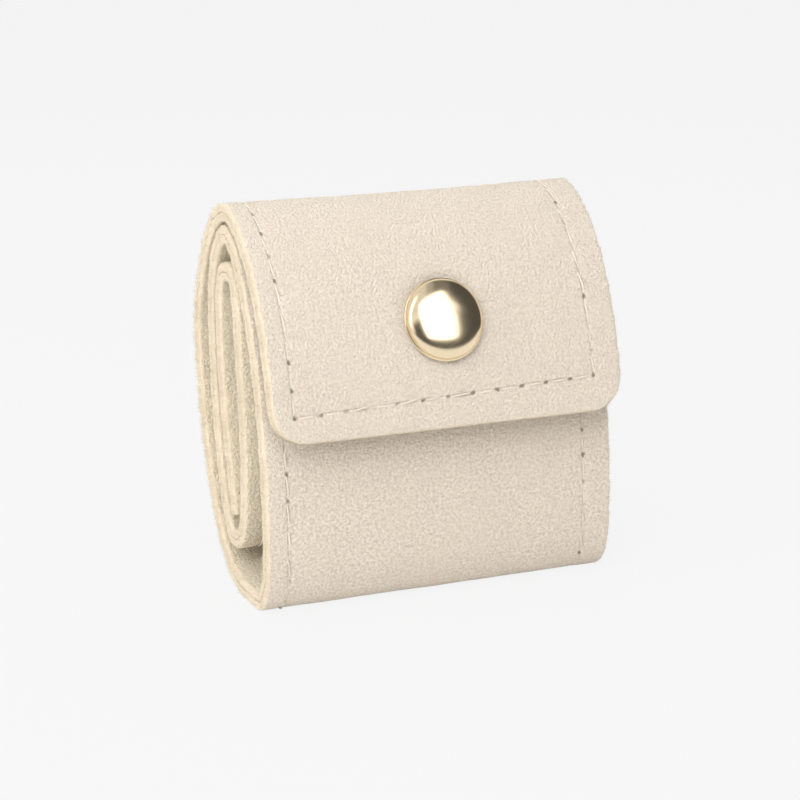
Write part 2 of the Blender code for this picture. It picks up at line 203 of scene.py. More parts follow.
def linear(hex_colour):
    """An sRGB hex colour as linear red, green and blue."""
    parts = [int(hex_colour[i : i + 2], 16) / 255 for i in (1, 3, 5)]
    return tuple(c / 12.92 if c <= 0.04045 else ((c + 0.055) / 1.055) ** 2.4 for c in parts)


COLOUR = {"subtype": "COLOR", "size": 3, "min": 0, "max": 1}


class StripSettings(bpy.types.PropertyGroup):
    """Sizes and colours of the two suede plies and the thread that joins them."""

    suede_colour: bpy.props.FloatVectorProperty(
        name="Suede",
        description="Colour of the brushed face",
        default=linear("#E4D8C8"),
        **COLOUR,
    )
    # Painted light: this tint paints the faces inside the roll, in its recesses, lighter and
    # warmer.
    painted_light_tint: bpy.props.FloatVectorProperty(
        name="Painted light tint",
        description="What the recessed faces inside the roll are multiplied by",
        default=(1.18, 1.18, 1.09),
        **{**COLOUR, "max": 1.3},
    )
    edge_colour: bpy.props.FloatVectorProperty(
        name="Cut edge",
        description="Colour of the fibres where the suede is cut",
        default=linear("#CDC0AA"),
        **COLOUR,
    )
    thread_colour: bpy.props.FloatVectorProperty(
        name="Thread",
        description="Colour of the sewing thread",
        default=linear("#D9CDBC"),
        **COLOUR,
    )
    seam_inset: bpy.props.FloatProperty(
        name="Seam inset",
        description="Distance of the seam from the strip's edge",
        default=0.0040,
        min=0.002,
        max=0.010,
        unit="LENGTH",
    )
    end_inset: bpy.props.FloatProperty(
        name="End seam inset",
        description="Distance of the end seam from the strip's end",
        default=0.0047,
        min=0.002,
        max=0.010,
        unit="LENGTH",
    )
    seam_shift: bpy.props.FloatProperty(
        name="Seam shift",
        description="How far to the left of the strip's middle the sewing runs",
        default=0.0007,
        min=0,
        max=0.002,
        unit="LENGTH",
    )
    seam_skew: bpy.props.FloatProperty(
        name="Seam skew",
        description="How far the end seam rises towards the right, for each unit across",
        default=0.032,
        min=-0.1,
        max=0.1,
    )
    stitch_length: bpy.props.FloatProperty(
        name="Stitch length",
        description="Distance from one needle hole to the next",
        default=0.0041,
        min=0.002,
        max=0.006,
        unit="LENGTH",
    )
    thread_diameter: bpy.props.FloatProperty(
        name="Thread diameter",
        description="Thickness of the sewing thread",
        default=0.00050,
        min=0.0002,
        max=0.001,
        unit="LENGTH",
    )
    seam_depth: bpy.props.FloatProperty(
        name="Seam depth",
        description="How far the thread pulls the suede in",
        default=0.00009,
        min=0,
        max=0.0004,
        unit="LENGTH",
    )
    fibre_length: bpy.props.FloatProperty(
        name="Fibre length",
        description="Length of the loose fibres at the cut edges",
        default=0.00034,
        min=0.0001,
        max=0.001,
        unit="LENGTH",
    )
    fibre_density: bpy.props.FloatProperty(
        name="Fibre density",
        description="Loose fibres on each square millimetre of cut edge",
        default=9,
        min=0,
        max=30,
    )


class SnapSettings(bpy.types.PropertyGroup):
    """Sizes and colours of the snap fastener."""

    gilt_colour: bpy.props.FloatVectorProperty(
        name="Gilt",
        description="Colour of the pale gold plating",
        default=linear("#F8E5C3"),
        **COLOUR,
    )
    cap_height: bpy.props.FloatProperty(
        name="Cap height",
        description="Height of the cap's dome over the suede",
        default=0.0023,
        min=0.001,
        max=0.003,
        unit="LENGTH",
    )


class StageSettings(bpy.types.PropertyGroup):
    """The floor, the lamps and the camera."""

    backdrop_colour: bpy.props.FloatVectorProperty(
        name="Backdrop",
        description="Colour of the floor and the background",
        default=linear("#F5F5F5"),
        **COLOUR,
    )
    key_power: bpy.props.FloatProperty(
        name="Key power",
        description="Power of the large softbox at the front",
        default=1.28,
        min=0,
        max=50,
        unit="POWER",
    )
    side_power: bpy.props.FloatProperty(
        name="Side power",
        description="Power of the softbox at the left end",
        default=2.6,
        min=0,
        max=50,
        unit="POWER",
    )
    rear_power: bpy.props.FloatProperty(
        name="Rear power",
        description="Power of the softbox high behind the pouch",
        default=0.95,
        min=0,
        max=50,
        unit="POWER",
    )
    fill_strength: bpy.props.FloatProperty(
        name="Fill strength",
        description="Strength of the even light from all round",
        default=0.57,
        min=0,
        max=2,
    )
    azimuth: bpy.props.FloatProperty(
        name="Azimuth",
        description="How far round to the left the camera stands",
        default=math.radians(23.5),
        subtype="ANGLE",
    )
    elevation: bpy.props.FloatProperty(
        name="Elevation",
        description="How far above the horizon the camera stands",
        default=math.radians(14.8),
        subtype="ANGLE",
    )


def heading(lean):
    """The heading (back, up) that leans this far back from upright."""
    return math.sin(lean), math.cos(lean)


def arc(start, start_heading, end, end_heading, shares, steps=ARC_STEPS):
    """Points of a smooth curve that leaves and arrives on the given headings."""
    start, start_heading, end, end_heading = map(
        np.array, (start, start_heading, end, end_heading)
    )
    chord = end - start
    first = start + start_heading * shares[0] * (chord @ start_heading)
    second = end - end_heading * shares[1] * (chord @ end_heading)
    t = np.linspace(0, 1, steps + 1)[:, None]
    near = (1 - t) ** 3 * start + 3 * (1 - t) ** 2 * t * first
    far = 3 * (1 - t) * t**2 * second + t**3 * end
    return near + far


def turn(start, start_heading, end, end_heading, shares):
    """A quarter turn, whose bend's height is a share of the roll's depth at its steep end."""
    chord = np.subtract(end, start)
    kept = []
    for along, share in zip((start_heading, end_heading), shares):
        steep = abs(along[1]) > abs(along[0])
        kept.append(1 - share * ROLL_DEPTH / (chord @ along) if steep else share)
    return arc(start, start_heading, end, end_heading, kept)


def tangents(line):
    """The heading at each point of the line."""
    along = np.gradient(line, axis=0)
    return along / np.linalg.norm(along, axis=1)[:, None]


def inward(along):
    """The direction into the roll, square to a heading."""
    return np.stack([along[..., 1], -along[..., 0]], axis=-1)


def behind(wrap, height):
    """Where the next wrap's face touches the inside of this one, at a height, and its heading."""
    headings = tangents(wrap)
    inside = wrap + inward(headings) * (STRIP + LAP_GAP)
    low_to_high = np.argsort(inside[:, 1])
    at_height = [
        np.interp(height, inside[low_to_high, 1], values[low_to_high])
        for values in (inside[:, 0], headings[:, 0], headings[:, 1])
    ]
    return (at_height[0], height), np.array(at_height[1:]) / math.hypot(*at_height[1:])


def depth_below(place, into, line):
    """How far the line lies from a place, in this direction."""
    across = np.array([into[1], -into[0]])
    offsets = (line - place) @ across
    depths = (line - place) @ into
    crossing = np.flatnonzero(offsets[:-1] * offsets[1:] <= 0)[0]
    share = offsets[crossing] / (offsets[crossing] - offsets[crossing + 1])
    return depths[crossing] + share * (depths[crossing + 1] - depths[crossing])


def runs_along(line):
    """The distance along the line to each of its points."""
    return np.concatenate([[0], np.cumsum(np.linalg.norm(np.diff(line, axis=0), axis=1))])


def flap_over(panel, ridge):
    """The flap, brought as far forward as the closed snap holds it off the panel."""
    forward = 0
    for _ in range(SETTLING_STEPS):
        edge = (-forward, ROLL_HEIGHT - FLAP_FALL)
        flap = turn(edge, heading(FLAP_END_LEAN), ridge, BACK, FLAP_SHARES)
        place, along = (
            np.array([np.interp(SNAP_RUN, runs_along(flap), column) for column in values.T])
            for values in (flap, tangents(flap))
        )
        forward += SNAP_RISE - depth_below(place, inward(along / np.linalg.norm(along)), panel)
    return flap


def wound_strip():
    """The strip's outer face in section, from the flap's edge to the inner end of the roll."""
    spare = ROLL_DEPTH - LAYERS_DEEP * STRIP
    ridge = (RIDGE_SHARE * ROLL_DEPTH, ROLL_HEIGHT)
    bulge = (ROLL_DEPTH, BULGE_SHARE * ROLL_HEIGHT)
    foot_back = (FOOT_SHARE * ROLL_DEPTH, 0)
    foot_front = (foot_back[0] - FOOT_FLAT, 0)
    panel_low = (0, CORNER_RISE_SHARE * ROLL_HEIGHT)
    second_ridge = (ridge[0], ridge[1] - STRIP - LAP_GAP)
    second_bulge = (bulge[0] - STRIP - BACK_AIR_SHARE * spare, INNER_BULGE_SHARE * ROLL_HEIGHT)
    second_foot = (INNER_FOOT_SHARE * ROLL_DEPTH, STRIP + INNER_FOOT_AIR)
    second_front = (STRIP + FRONT_AIR_SHARE * spare, INNER_FRONT_SHARE * ROLL_HEIGHT)
    third_ridge = (ridge[0], second_ridge[1] - STRIP - INNER_TURN_GAP)
    third_bulge = (second_bulge[0] - STRIP - INNER_BACK_GAP, second_bulge[1])
    inner_end = (
        second_foot[0] + INNER_END_SETBACK,
        second_foot[1] + STRIP + INNER_END_RISE,
    )
    inner_end_heading = heading(math.pi - INNER_END_LEAN)
    panel = turn(panel_low, UP, second_ridge, BACK, PANEL_SHARES)
    shoulder_height = third_ridge[1] - INNER_SHOULDER_DROP_SHARE * ROLL_DEPTH
    shoulder, shoulder_heading = behind(panel, shoulder_height)
    curves = [
        flap_over(panel, ridge),
        turn(ridge, BACK, bulge, DOWN, UPPER_BACK_SHARES),
        turn(bulge, DOWN, foot_back, FORWARD, LOWER_BACK_SHARES),
        turn(foot_front, FORWARD, panel_low, UP, FRONT_CORNER_SHARES),
        panel,
        turn(second_ridge, BACK, second_bulge, DOWN, SECOND_UPPER_BACK_SHARES),
        turn(second_bulge, DOWN, second_foot, FORWARD, SECOND_LOWER_BACK_SHARES),
        turn(second_foot, FORWARD, second_front, UP, SECOND_CORNER_SHARES),
        arc(second_front, UP, shoulder, shoulder_heading, SECOND_FRONT_SHARES),
        turn(shoulder, shoulder_heading, third_ridge, BACK, SHOULDER_SHARES),
        turn(third_ridge, BACK, third_bulge, DOWN, THIRD_UPPER_BACK_SHARES),
        arc(third_bulge, DOWN, inner_end, inner_end_heading, THIRD_LOWER_BACK_SHARES),
    ]
    line = [curves[0][0]]
    for curve in curves:
        line.extend(point for point in curve if math.dist(point, line[-1]) > 0)
    line = np.array(line)
    line[:, 0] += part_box("outer_suede_roll")[1].y - ROLL_DEPTH
    return line


LINE = wound_strip()
RUNS = runs_along(LINE)
LENGTH = RUNS[-1]
# Where the strip passes over the top of the flap's ridge and of the next one
RIDGE_RUNS = [RUNS[i] for i in np.flatnonzero(np.diff(np.sign(np.diff(LINE[:, 1]))) < 0)]
HEADINGS = tangents(LINE)


def along_strip(run):
    """Points of the outer face and their headings at these runs."""
    place = np.stack([np.interp(run, RUNS, column) for column in LINE.T], axis=-1)
    along = np.stack([np.interp(run, RUNS, column) for column in HEADINGS.T], axis=-1)
    return place, along / np.linalg.norm(along, axis=-1, keepdims=True)


def on_strip(across, run, depth):
    """World points of the strip, from distance across, run and depth under the outer face."""
    place, along = along_strip(run)
    place = place + inward(along) * np.asarray(depth)[..., None]
    return np.stack([across, place[..., 0], place[..., 1]], axis=-1)


def eased(share):
    """A share cut off at 0 and 1, with a gentle start and end."""
    share = np.clip(share, 0, 1)
    return share * share * (3 - 2 * share)


def settled(points):
    """The points with the slight sag of the soft ridge's middle."""
    share = eased((points[..., 2] - SAG_FROM_HEIGHT) / (ROLL_HEIGHT - SAG_FROM_HEIGHT))
    points[..., 2] -= RIDGE_SAG * (1 - (2 * points[..., 0] / STRIP_WIDTH) ** 2) * share
    return points


def follows(piece, on_flap):
    """The piece rides on the roll, or, on the flap, keeps its place with its transform baked in."""
    if on_flap:
        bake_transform(piece)
    else:
        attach(piece, "roll")


def add(tree, kind, inputs=None, **settings):
    """Adds a node with its settings. An input takes a value, a socket or a node's own result."""
    node = tree.nodes.new(kind)
    for name, value in settings.items():
        setattr(node, name, value)
    for name, value in (inputs or {}).items():
        if isinstance(name, str):
            socket = next(s for s in node.inputs if s.enabled and s.name == name)
        else:
            socket = node.inputs[name]
        if isinstance(value, bpy.types.Node):
            value = next(s for s in value.outputs if s.enabled)
        if isinstance(value, bpy.types.NodeSocket):
            tree.links.new(value, socket)
        else:
            socket.default_value = value
    return node


def shade(colour, red, green, blue):
    """The colour with its parts multiplied by these, and its alpha."""
    return (*(min(1, c * k) for c, k in zip(colour, (red, green, blue))), 1)


def new_material(name):
    made = bpy.data.materials.new(name)
    made.use_nodes = True
    made.node_tree.nodes.clear()
    return made, made.node_tree


def new_piece(name, vertices, faces, materials, smooth=True):
    mesh = bpy.data.meshes.new(name)
    mesh.from_pydata([tuple(v) for v in vertices], [], [tuple(f) for f in faces])
    for look in materials:
        mesh.materials.append(look)
    if smooth:
        mesh.shade_smooth()
    mesh.update()
    made = bpy.data.objects.new(name, mesh)
    bpy.context.scene.collection.objects.link(made)
    return made


def faced_out(mesh, crease=None):
    """Turns the faces outwards, and marks the edges that are sharper than the crease angle."""
    shell = bmesh.new()
    shell.from_mesh(mesh)
    bmesh.ops.recalc_face_normals(shell, faces=shell.faces)
    shell.to_mesh(mesh)
    shell.free()
    if crease:
        mesh.set_sharp_from_angle(angle=crease)
    mesh.update()


def grown(piece, tree, values, name):
    """What the tree makes of the piece, as a plain mesh of one material; the piece itself goes."""
    modifier = piece.modifiers.new(tree.name, "NODES")
    modifier.node_group = tree
    for item in tree.interface.items_tree:
        if item.item_type == "SOCKET" and item.in_out == "INPUT" and item.name in values:
            modifier[item.identifier] = values[item.name]
    bpy.context.view_layer.update()
    graph = bpy.context.evaluated_depsgraph_get()
    mesh = bpy.data.meshes.new_from_object(piece.evaluated_get(graph))
    mesh.name = name
    bpy.data.objects.remove(piece)
    made = bpy.data.objects.new(name, mesh)
    bpy.context.scene.collection.objects.link(made)
    look = next(look for look in mesh.materials if look)
    mesh.materials.clear()
    mesh.materials.append(look)
    mesh.polygons.foreach_set("material_index", np.zeros(len(mesh.polygons), np.int32))
    return made


def finished(*pieces):
    """What an operator gives back, or an error where a piece of it came out empty."""
    for piece in pieces:
        if not piece.data.polygons:
            raise RuntimeError(f"{piece.name} has no faces")
    return {"FINISHED"}


# Each line is a noise's repeats for each millimetre, detail, roughness and curl: the nap's
# clumps, its single fibres, its flecks, its stroked clouds and the chance of an open hole.
NAP_NOISES = (
    (2.3, 3.0, 0.62, 0.0),
    (6.0, 2.0, 0.60, 0.1),
    (2.1, 3.0, 0.75, 0.0),
    (0.11, 3.0, 0.55, 0.0),
    (0.37, 0.0, 0.50, 0.0),
)


def suede_nap(settings, name, painted_light_from_mm, hole_share):
    """Brushed suede split: matt, with a short nap in pebbled clumps of about half a millimetre.

    The eye sees pale and dark flecks of grain, plainer on the panel than on the flap, cloudy
    patches where the nap was stroked, and a sheen of fibres at grazing angles. The flecks are
    grain; their stronger contrast on the panel is painted shade, of a light that grazes it. The
    seam's furrow and needle holes follow the strip, and show in full where hole_share is 1;
    the holes are painted dark, as painted shade inside them. From the given run on, where the
    face is rolled inwards, its colour is multiplied by a tint: painted light, which makes the
    recesses inside the roll lighter and warmer.
    """
    look, tree = new_material(name)
    place = add(tree, "ShaderNodeUVMap", uv_map="strip_mm")
    pebbles, fibres, mottle, clouds, chance = (
        add(
            tree,
            "ShaderNodeTexNoise",
            {
                "Vector": place,
                "Scale": per_mm,
                "Detail": detail,
                "Roughness": rough,
                "Distortion": curl,
            },
            noise_dimensions="2D",
        )
        for per_mm, detail, rough, curl in NAP_NOISES
    )
    run = add(tree, "ShaderNodeSeparateXYZ", {0: place}).outputs["Y"]
    # The flecks are grain; their stronger contrast from the flap on to the panel is painted shade,
    # standing in for a light that grazes the panel.
    contrast = add(
        tree,
        "ShaderNodeMapRange",
        {"Value": run, "From Min": 53.0, "From Max": 75.0, "To Min": 0.55, "To Max": 1.0},
    )
    darkest, palest = (
        add(tree, "ShaderNodeMath", {0: contrast, 1: way, 2: 0.5}, operation="MULTIPLY_ADD")
        for way in (-0.5, 0.5)
    )
    # The third share below is painted light: from the given run on, inside the roll, the tint
    # paints the face lighter and warmer.
    fleck, stroked, painted_lighter, opened = (
        add(
            tree,
            "ShaderNodeMapRange",
            {"Value": value, "From Min": low, "From Max": high, "To Min": least, "To Max": most},
        )
        for value, low, high, least, most in (
            (mottle, 0.36, 0.63, darkest, palest),
            (clouds, 0.3, 0.7, 0.0, 0.4),
            (run, painted_light_from_mm, painted_light_from_mm + 12, 0.0, 1.0),
            (chance, 0.36, 0.56, 0.0, hole_share),
        )
    )
    furrow, hole = seam_masks(tree, place, pebbles, settings)
    # The needle holes are painted dark in the colour below: painted shade inside the holes.
    painted_hole_shade = add(tree, "ShaderNodeMath", {0: hole, 1: opened}, operation="MULTIPLY")
    base = settings.suede_colour
    colour = shade(base, 0.77, 0.75, 0.715)
    for share, over, blend in (
        (fleck, shade(base, 1.10, 1.10, 1.10), "MIX"),
        (stroked, shade(base, 0.945, 0.935, 0.915), "MIX"),
        (painted_lighter, (*settings.painted_light_tint, 1), "MULTIPLY"),
        (painted_hole_shade, shade(base, 0.34, 0.28, 0.22), "MIX"),
    ):
        colour = add(
            tree,
            "ShaderNodeMix",
            {"Factor": share, "A": colour, "B": over},
            data_type="RGBA",
            blend_type=blend,
        )
    height = add(tree, "ShaderNodeMix", {"Factor": 0.25, "A": pebbles, "B": fibres})
    sunk = add(tree, "ShaderNodeMath", {0: furrow, 1: 0.26 * hole_share}, operation="MULTIPLY")
    raised = add(tree, "ShaderNodeMath", {0: height, 1: sunk}, operation="SUBTRACT")
    bump = add(
        tree, "ShaderNodeBump", {"Strength": 1.0, "Distance": 0.85 * MM, "Height": raised}
    )
    shader = add(
        tree,
        "ShaderNodeBsdfPrincipled",
        {
            "Base Color": colour,
            "Normal": bump,
            "Roughness": 0.95,
            "Specular IOR Level": 0.2,
            "Sheen Weight": 0.2,
            "Sheen Roughness": 0.45,
        },
    )
    add(tree, "ShaderNodeOutputMaterial", {"Surface": shader})
    return look


def seam_masks(tree, place, pebbles, settings):
    """How near a point of the strip is to a seam's furrow and to a needle hole, from 0 to 1."""
    half = (STRIP_WIDTH / 2 - settings.seam_inset) / MM
    inset = settings.end_inset / MM
    stitch = settings.stitch_length / MM
    end_stitch = 2 * half / round(2 * half / stitch)
    shift = settings.seam_shift / MM
    split = add(tree, "ShaderNodeSeparateXYZ", {0: place}).outputs
    sideways = add(tree, "ShaderNodeMath", {0: split["X"], 1: shift}, operation="ADD")
    risen = add(
        tree, "ShaderNodeMath", {0: sideways, 1: settings.seam_skew}, operation="MULTIPLY"
    )
    onward = add(tree, "ShaderNodeMath", {0: split["Y"], 1: risen}, operation="SUBTRACT")
    across = add(tree, "ShaderNodeMath", {0: sideways}, operation="ABSOLUTE")
    off_side = add(tree, "ShaderNodeMath", {0: across, 1: half}, operation="SUBTRACT")
    off_end = add(tree, "ShaderNodeMath", {0: onward, 1: inset}, operation="SUBTRACT")
    rough = add(
        tree,
        "ShaderNodeMapRange",
        {"Value": pebbles, "From Min": 0.3, "From Max": 0.7, "To Min": 0.5, "To Max": 2.0},
    )
    masks = []
    for off, along, pitch, phase, other, test, limit in (
        (off_side, onward, stitch, -inset, off_end, "GREATER_THAN", -0.15),
        (off_end, sideways, end_stitch, half, off_side, "LESS_THAN", 0.15),
    ):
        squared = add(tree, "ShaderNodeMath", {0: off, 1: off}, operation="MULTIPLY")
        shifted = add(tree, "ShaderNodeMath", {0: along, 1: phase}, operation="ADD")
        folded = add(tree, "ShaderNodeMath", {0: shifted, 1: pitch / 2}, operation="PINGPONG")
        away = add(tree, "ShaderNodeMath", {0: folded, 1: folded}, operation="MULTIPLY")
        long_spot = add(
            tree, "ShaderNodeMath", {0: away, 1: 0.45, 2: squared}, operation="MULTIPLY_ADD"
        )
        spot = add(tree, "ShaderNodeMath", {0: long_spot, 1: rough}, operation="MULTIPLY")
        within = add(tree, "ShaderNodeMath", {0: other, 1: limit}, operation=test)
        for distance, near, far in ((squared, 0.0, 0.09), (spot, 0.01, 0.16)):
            mask = add(
                tree,
                "ShaderNodeMapRange",
                {
                    "Value": distance,
                    "From Min": near,
                    "From Max": far,
                    "To Min": 1.0,
                    "To Max": 0.0,
                },
                interpolation_type="SMOOTHSTEP",
            )
            masks.append(add(tree, "ShaderNodeMath", {0: mask, 1: within}, operation="MULTIPLY"))
    return [
        add(tree, "ShaderNodeMath", {0: masks[i], 1: masks[i + 2]}, operation="MAXIMUM")
        for i in (0, 1)
    ]


def cut_suede(settings):
    """The suede's cut edge: pressed loose fibres, warmer than the face and without its nap.

    The eye sees a soft ochre band with short streaks along the ply.
    """
    look, tree = new_material("cut suede edge")
    where = add(tree, "ShaderNodeTexCoord").outputs["Object"]
    streaks, patches = (
        add(
            tree,
            "ShaderNodeTexNoise",
            {"Vector": where, "Scale": per_metre, "Detail": detail, "Roughness": rough},
        )
        for per_metre, detail, rough in ((2600.0, 3.0, 0.6), (170.0, 2.0, 0.5))
    )
    mixed = add(tree, "ShaderNodeMix", {"Factor": 0.4, "A": streaks, "B": patches})
    share = add(
        tree,
        "ShaderNodeMapRange",
        {"Value": mixed, "From Min": 0.35, "From Max": 0.65, "To Min": 0.0, "To Max": 1.0},
    )
    base = settings.edge_colour
    colour = add(
        tree,
        "ShaderNodeMix",
        {"Factor": share, "A": shade(base, 0.86, 0.83, 0.77), "B": shade(base, 1.04, 1.04, 1.04)},
        data_type="RGBA",
    )
    bump = add(
        tree, "ShaderNodeBump", {"Strength": 1.0, "Distance": 0.22 * MM, "Height": streaks}
    )
    shader = add(
        tree,
        "ShaderNodeBsdfPrincipled",
        {
            "Base Color": colour,
            "Normal": bump,
            "Roughness": 0.95,
            "Specular IOR Level": 0.15,
            "Sheen Weight": 0.2,
            "Sheen Roughness": 0.5,
        },
    )
    add(tree, "ShaderNodeOutputMaterial", {"Surface": shader})
    return look


def sewing_thread(settings):
    """Spun polyester thread, two yarns twisted: a soft shine and a little lint."""
    look, tree = new_material("spun polyester thread")
    where = add(tree, "ShaderNodeTexCoord").outputs["Object"]
    lint = add(
        tree,
        "ShaderNodeTexNoise",
        {"Vector": where, "Scale": 5200.0, "Detail": 3.0, "Roughness": 0.6},
    )
    base = settings.thread_colour
    colour = add(
        tree,
        "ShaderNodeMix",
        {"Factor": lint, "A": shade(base, 0.86, 0.86, 0.86), "B": shade(base, 1.04, 1.04, 1.04)},
        data_type="RGBA",
    )
    bump = add(tree, "ShaderNodeBump", {"Strength": 0.5, "Distance": 0.04 * MM, "Height": lint})
    shader = add(
        tree,
        "ShaderNodeBsdfPrincipled",
        {
            "Base Color": colour,
            "Normal": bump,
            "Roughness": 0.62,
            "Specular IOR Level": 0.35,
            "Sheen Weight": 0.15,
        },
    )
    add(tree, "ShaderNodeOutputMaterial", {"Surface": shader})
    return look


def polished_gilt(settings):
    """Brass under polished pale gold plate: a clear mirror with faint hairlines from buffing."""
    look, tree = new_material("polished pale gold plate")
    where = add(tree, "ShaderNodeTexCoord").outputs["Object"]
    smears, grain = (
        add(
            tree,
            "ShaderNodeTexNoise",
            {"Vector": where, "Scale": per_metre, "Detail": detail, "Roughness": rough},
        )
        for per_metre, detail, rough in ((420.0, 3.0, 0.6), (900.0, 2.0, 0.5))
    )
    polish = add(
        tree,
        "ShaderNodeMapRange",
        {"Value": smears, "From Min": 0.3, "From Max": 0.75, "To Min": 0.15, "To Max": 0.22},
    )
    bump = add(tree, "ShaderNodeBump", {"Strength": 0.05, "Distance": 0.02 * MM, "Height": grain})
    shader = add(
        tree,
        "ShaderNodeBsdfPrincipled",
        {
            "Base Color": (*settings.gilt_colour, 1),
            "Metallic": 1.0,
            "Roughness": polish,
            "Normal": bump,
        },
    )
    add(tree, "ShaderNodeOutputMaterial", {"Surface": shader})
    return look


def spring_steel():
    """Drawn spring wire: bright grey with a slightly streaky surface."""
    look, tree = new_material("drawn spring steel")
    where = add(tree, "ShaderNodeTexCoord").outputs["Object"]
    draw_marks = add(
        tree, "ShaderNodeTexNoise", {"Vector": where, "Scale": 3000.0, "Detail": 2.0}
    )
    rough = add(
        tree,
        "ShaderNodeMapRange",
        {"Value": draw_marks, "From Min": 0.3, "From Max": 0.7, "To Min": 0.22, "To Max": 0.36},
    )
    shader = add(
        tree,
        "ShaderNodeBsdfPrincipled",
        {"Base Color": (*linear("#CFCFCB"), 1), "Metallic": 1.0, "Roughness": rough},
    )
    add(tree, "ShaderNodeOutputMaterial", {"Surface": shader})
    return look


def half_columns(settings):
    """Distances from the middle of the strip, closer together by the cap and by the seam."""
    half = STRIP_WIDTH / 2
    seam = half - settings.seam_inset
    beside = np.array([-1.4, -0.9, -0.55, -0.3, -0.15, 0, 0.15, 0.3, 0.55, 0.9, 1.5]) * MM
    middle = np.concatenate([np.arange(0, 10, 1.0), np.arange(10, 21.9, 1.9)]) * MM
    outer = np.linspace(seam + beside[-1], half - 2 * EDGE_ROUND, 4)[1:]
    return np.concatenate([middle, seam + beside, outer])


def rows(start, end, settings, free_start, free_end):
    """Runs of the ply's rows and how deep each row's rounding lies, from its first to its last."""
    stitch = settings.stitch_length
    fine = np.arange(settings.end_inset - ROWS_LEAD, FINE_UNTIL, stitch / 8)
    coarse = np.arange(fine[-1], LENGTH, stitch / 4)
    inside = np.concatenate([fine, coarse[1:]])
    margin = 1.2 * EDGE_ROUND
    inside = inside[(inside > start + margin) & (inside < end - margin)]
    angles = np.linspace(0, math.pi / 2, ROUND_STEPS + 1)
    rounding = EDGE_ROUND * (1 - np.cos(angles))
    sinking = EDGE_ROUND * (1 - np.sin(angles))
    corner = FLAP_CORNER_RADIUS * (1 - np.cos(np.linspace(0, math.pi / 2, 16)))
    runs, sink = [inside], [np.zeros(len(inside))]
    if free_start:
        extra = corner[(corner > 1.3 * EDGE_ROUND) & (corner < FLAP_CORNER_RADIUS)]
        runs = [start + rounding, extra, inside[inside > extra[-1]]]
        sink = [sinking, np.zeros(len(extra)), np.zeros(len(runs[2]))]
    else:
        runs.insert(0, [start])
        sink.insert(0, [0])
    if free_end:
        runs.append(end - rounding[::-1])
        sink.append(sinking[::-1])
    else:
        runs.append([end])
        sink.append([0])
    return np.concatenate(runs), np.concatenate(sink)


def half_width(run):
    """Half the strip's width at a run: less at the flap's two rounded corners."""
    radius = FLAP_CORNER_RADIUS
    short = np.clip(radius - run, 0, radius)
    return STRIP_WIDTH / 2 - radius + np.sqrt(radius**2 - short**2)


def pulled_in(across, run, settings):
    """How far the seam, the holes and the nap's slow waves sink the face at each point."""
    stitch = settings.stitch_length
    sideways = across + settings.seam_shift
    off_side = np.abs(sideways) - (STRIP_WIDTH / 2 - settings.seam_inset)
    off_end = run - settings.seam_skew * sideways - settings.end_inset
    off_hole = np.abs((off_end + stitch / 2) % stitch - stitch / 2)
    beside = off_end > -FURROW_PAST_CORNER
    side = np.exp(-((off_side / FURROW_WIDTH) ** 2)) * beside
    end = np.exp(-((off_end / FURROW_WIDTH) ** 2)) * (off_side < FURROW_PAST_CORNER)
    hole = np.exp(-((off_side / HOLE_ACROSS) ** 2) - (off_hole / HOLE_ALONG) ** 2) * beside
    furrow = settings.seam_depth * (np.maximum(side, end) + HOLE_DEPTH_SHARE * hole)
    a, b = across / MM, run / MM
    waves = (
        np.sin(0.31 * a + 0.23 * b + 0.7)
        + np.sin(-0.43 * a + 0.37 * b + 2.1)
        + np.sin(0.71 * a + 0.11 * b + 4.0)
        + np.sin(0.17 * a - 0.59 * b + 1.3)
    )
    return furrow + NAP_WAVE * (waves / 2 + 1.4)


def waved_edge(across, run, settings, phase):
    """The distances across with the cut edge's small waves, which fade out towards the seam."""
    seam = STRIP_WIDTH / 2 - settings.seam_inset
    past = np.abs(across) - seam - EDGE_WAVE_FROM_SEAM
    share = np.clip(past / EDGE_WAVE_GROWS_OVER, 0, 1)
    along = run / MM + phase + RIGHT_EDGE_PHASE * (across > 0)
    waves = np.sin(1.1 * along) + np.sin(2.3 * along + 1.0) + np.sin(3.7 * along + 2.0)
    return across + np.sign(across) * share * EDGE_WAVE * (waves - 1.0)


def cap_dent(across, run):
    """How far the cap presses the flap's face in."""
    away = np.hypot(across, run - SNAP_RUN)
    return CAP_DENT * eased((CAP_RADIUS + DENT_PAST_CAP - away) / DENT_SLOPE)


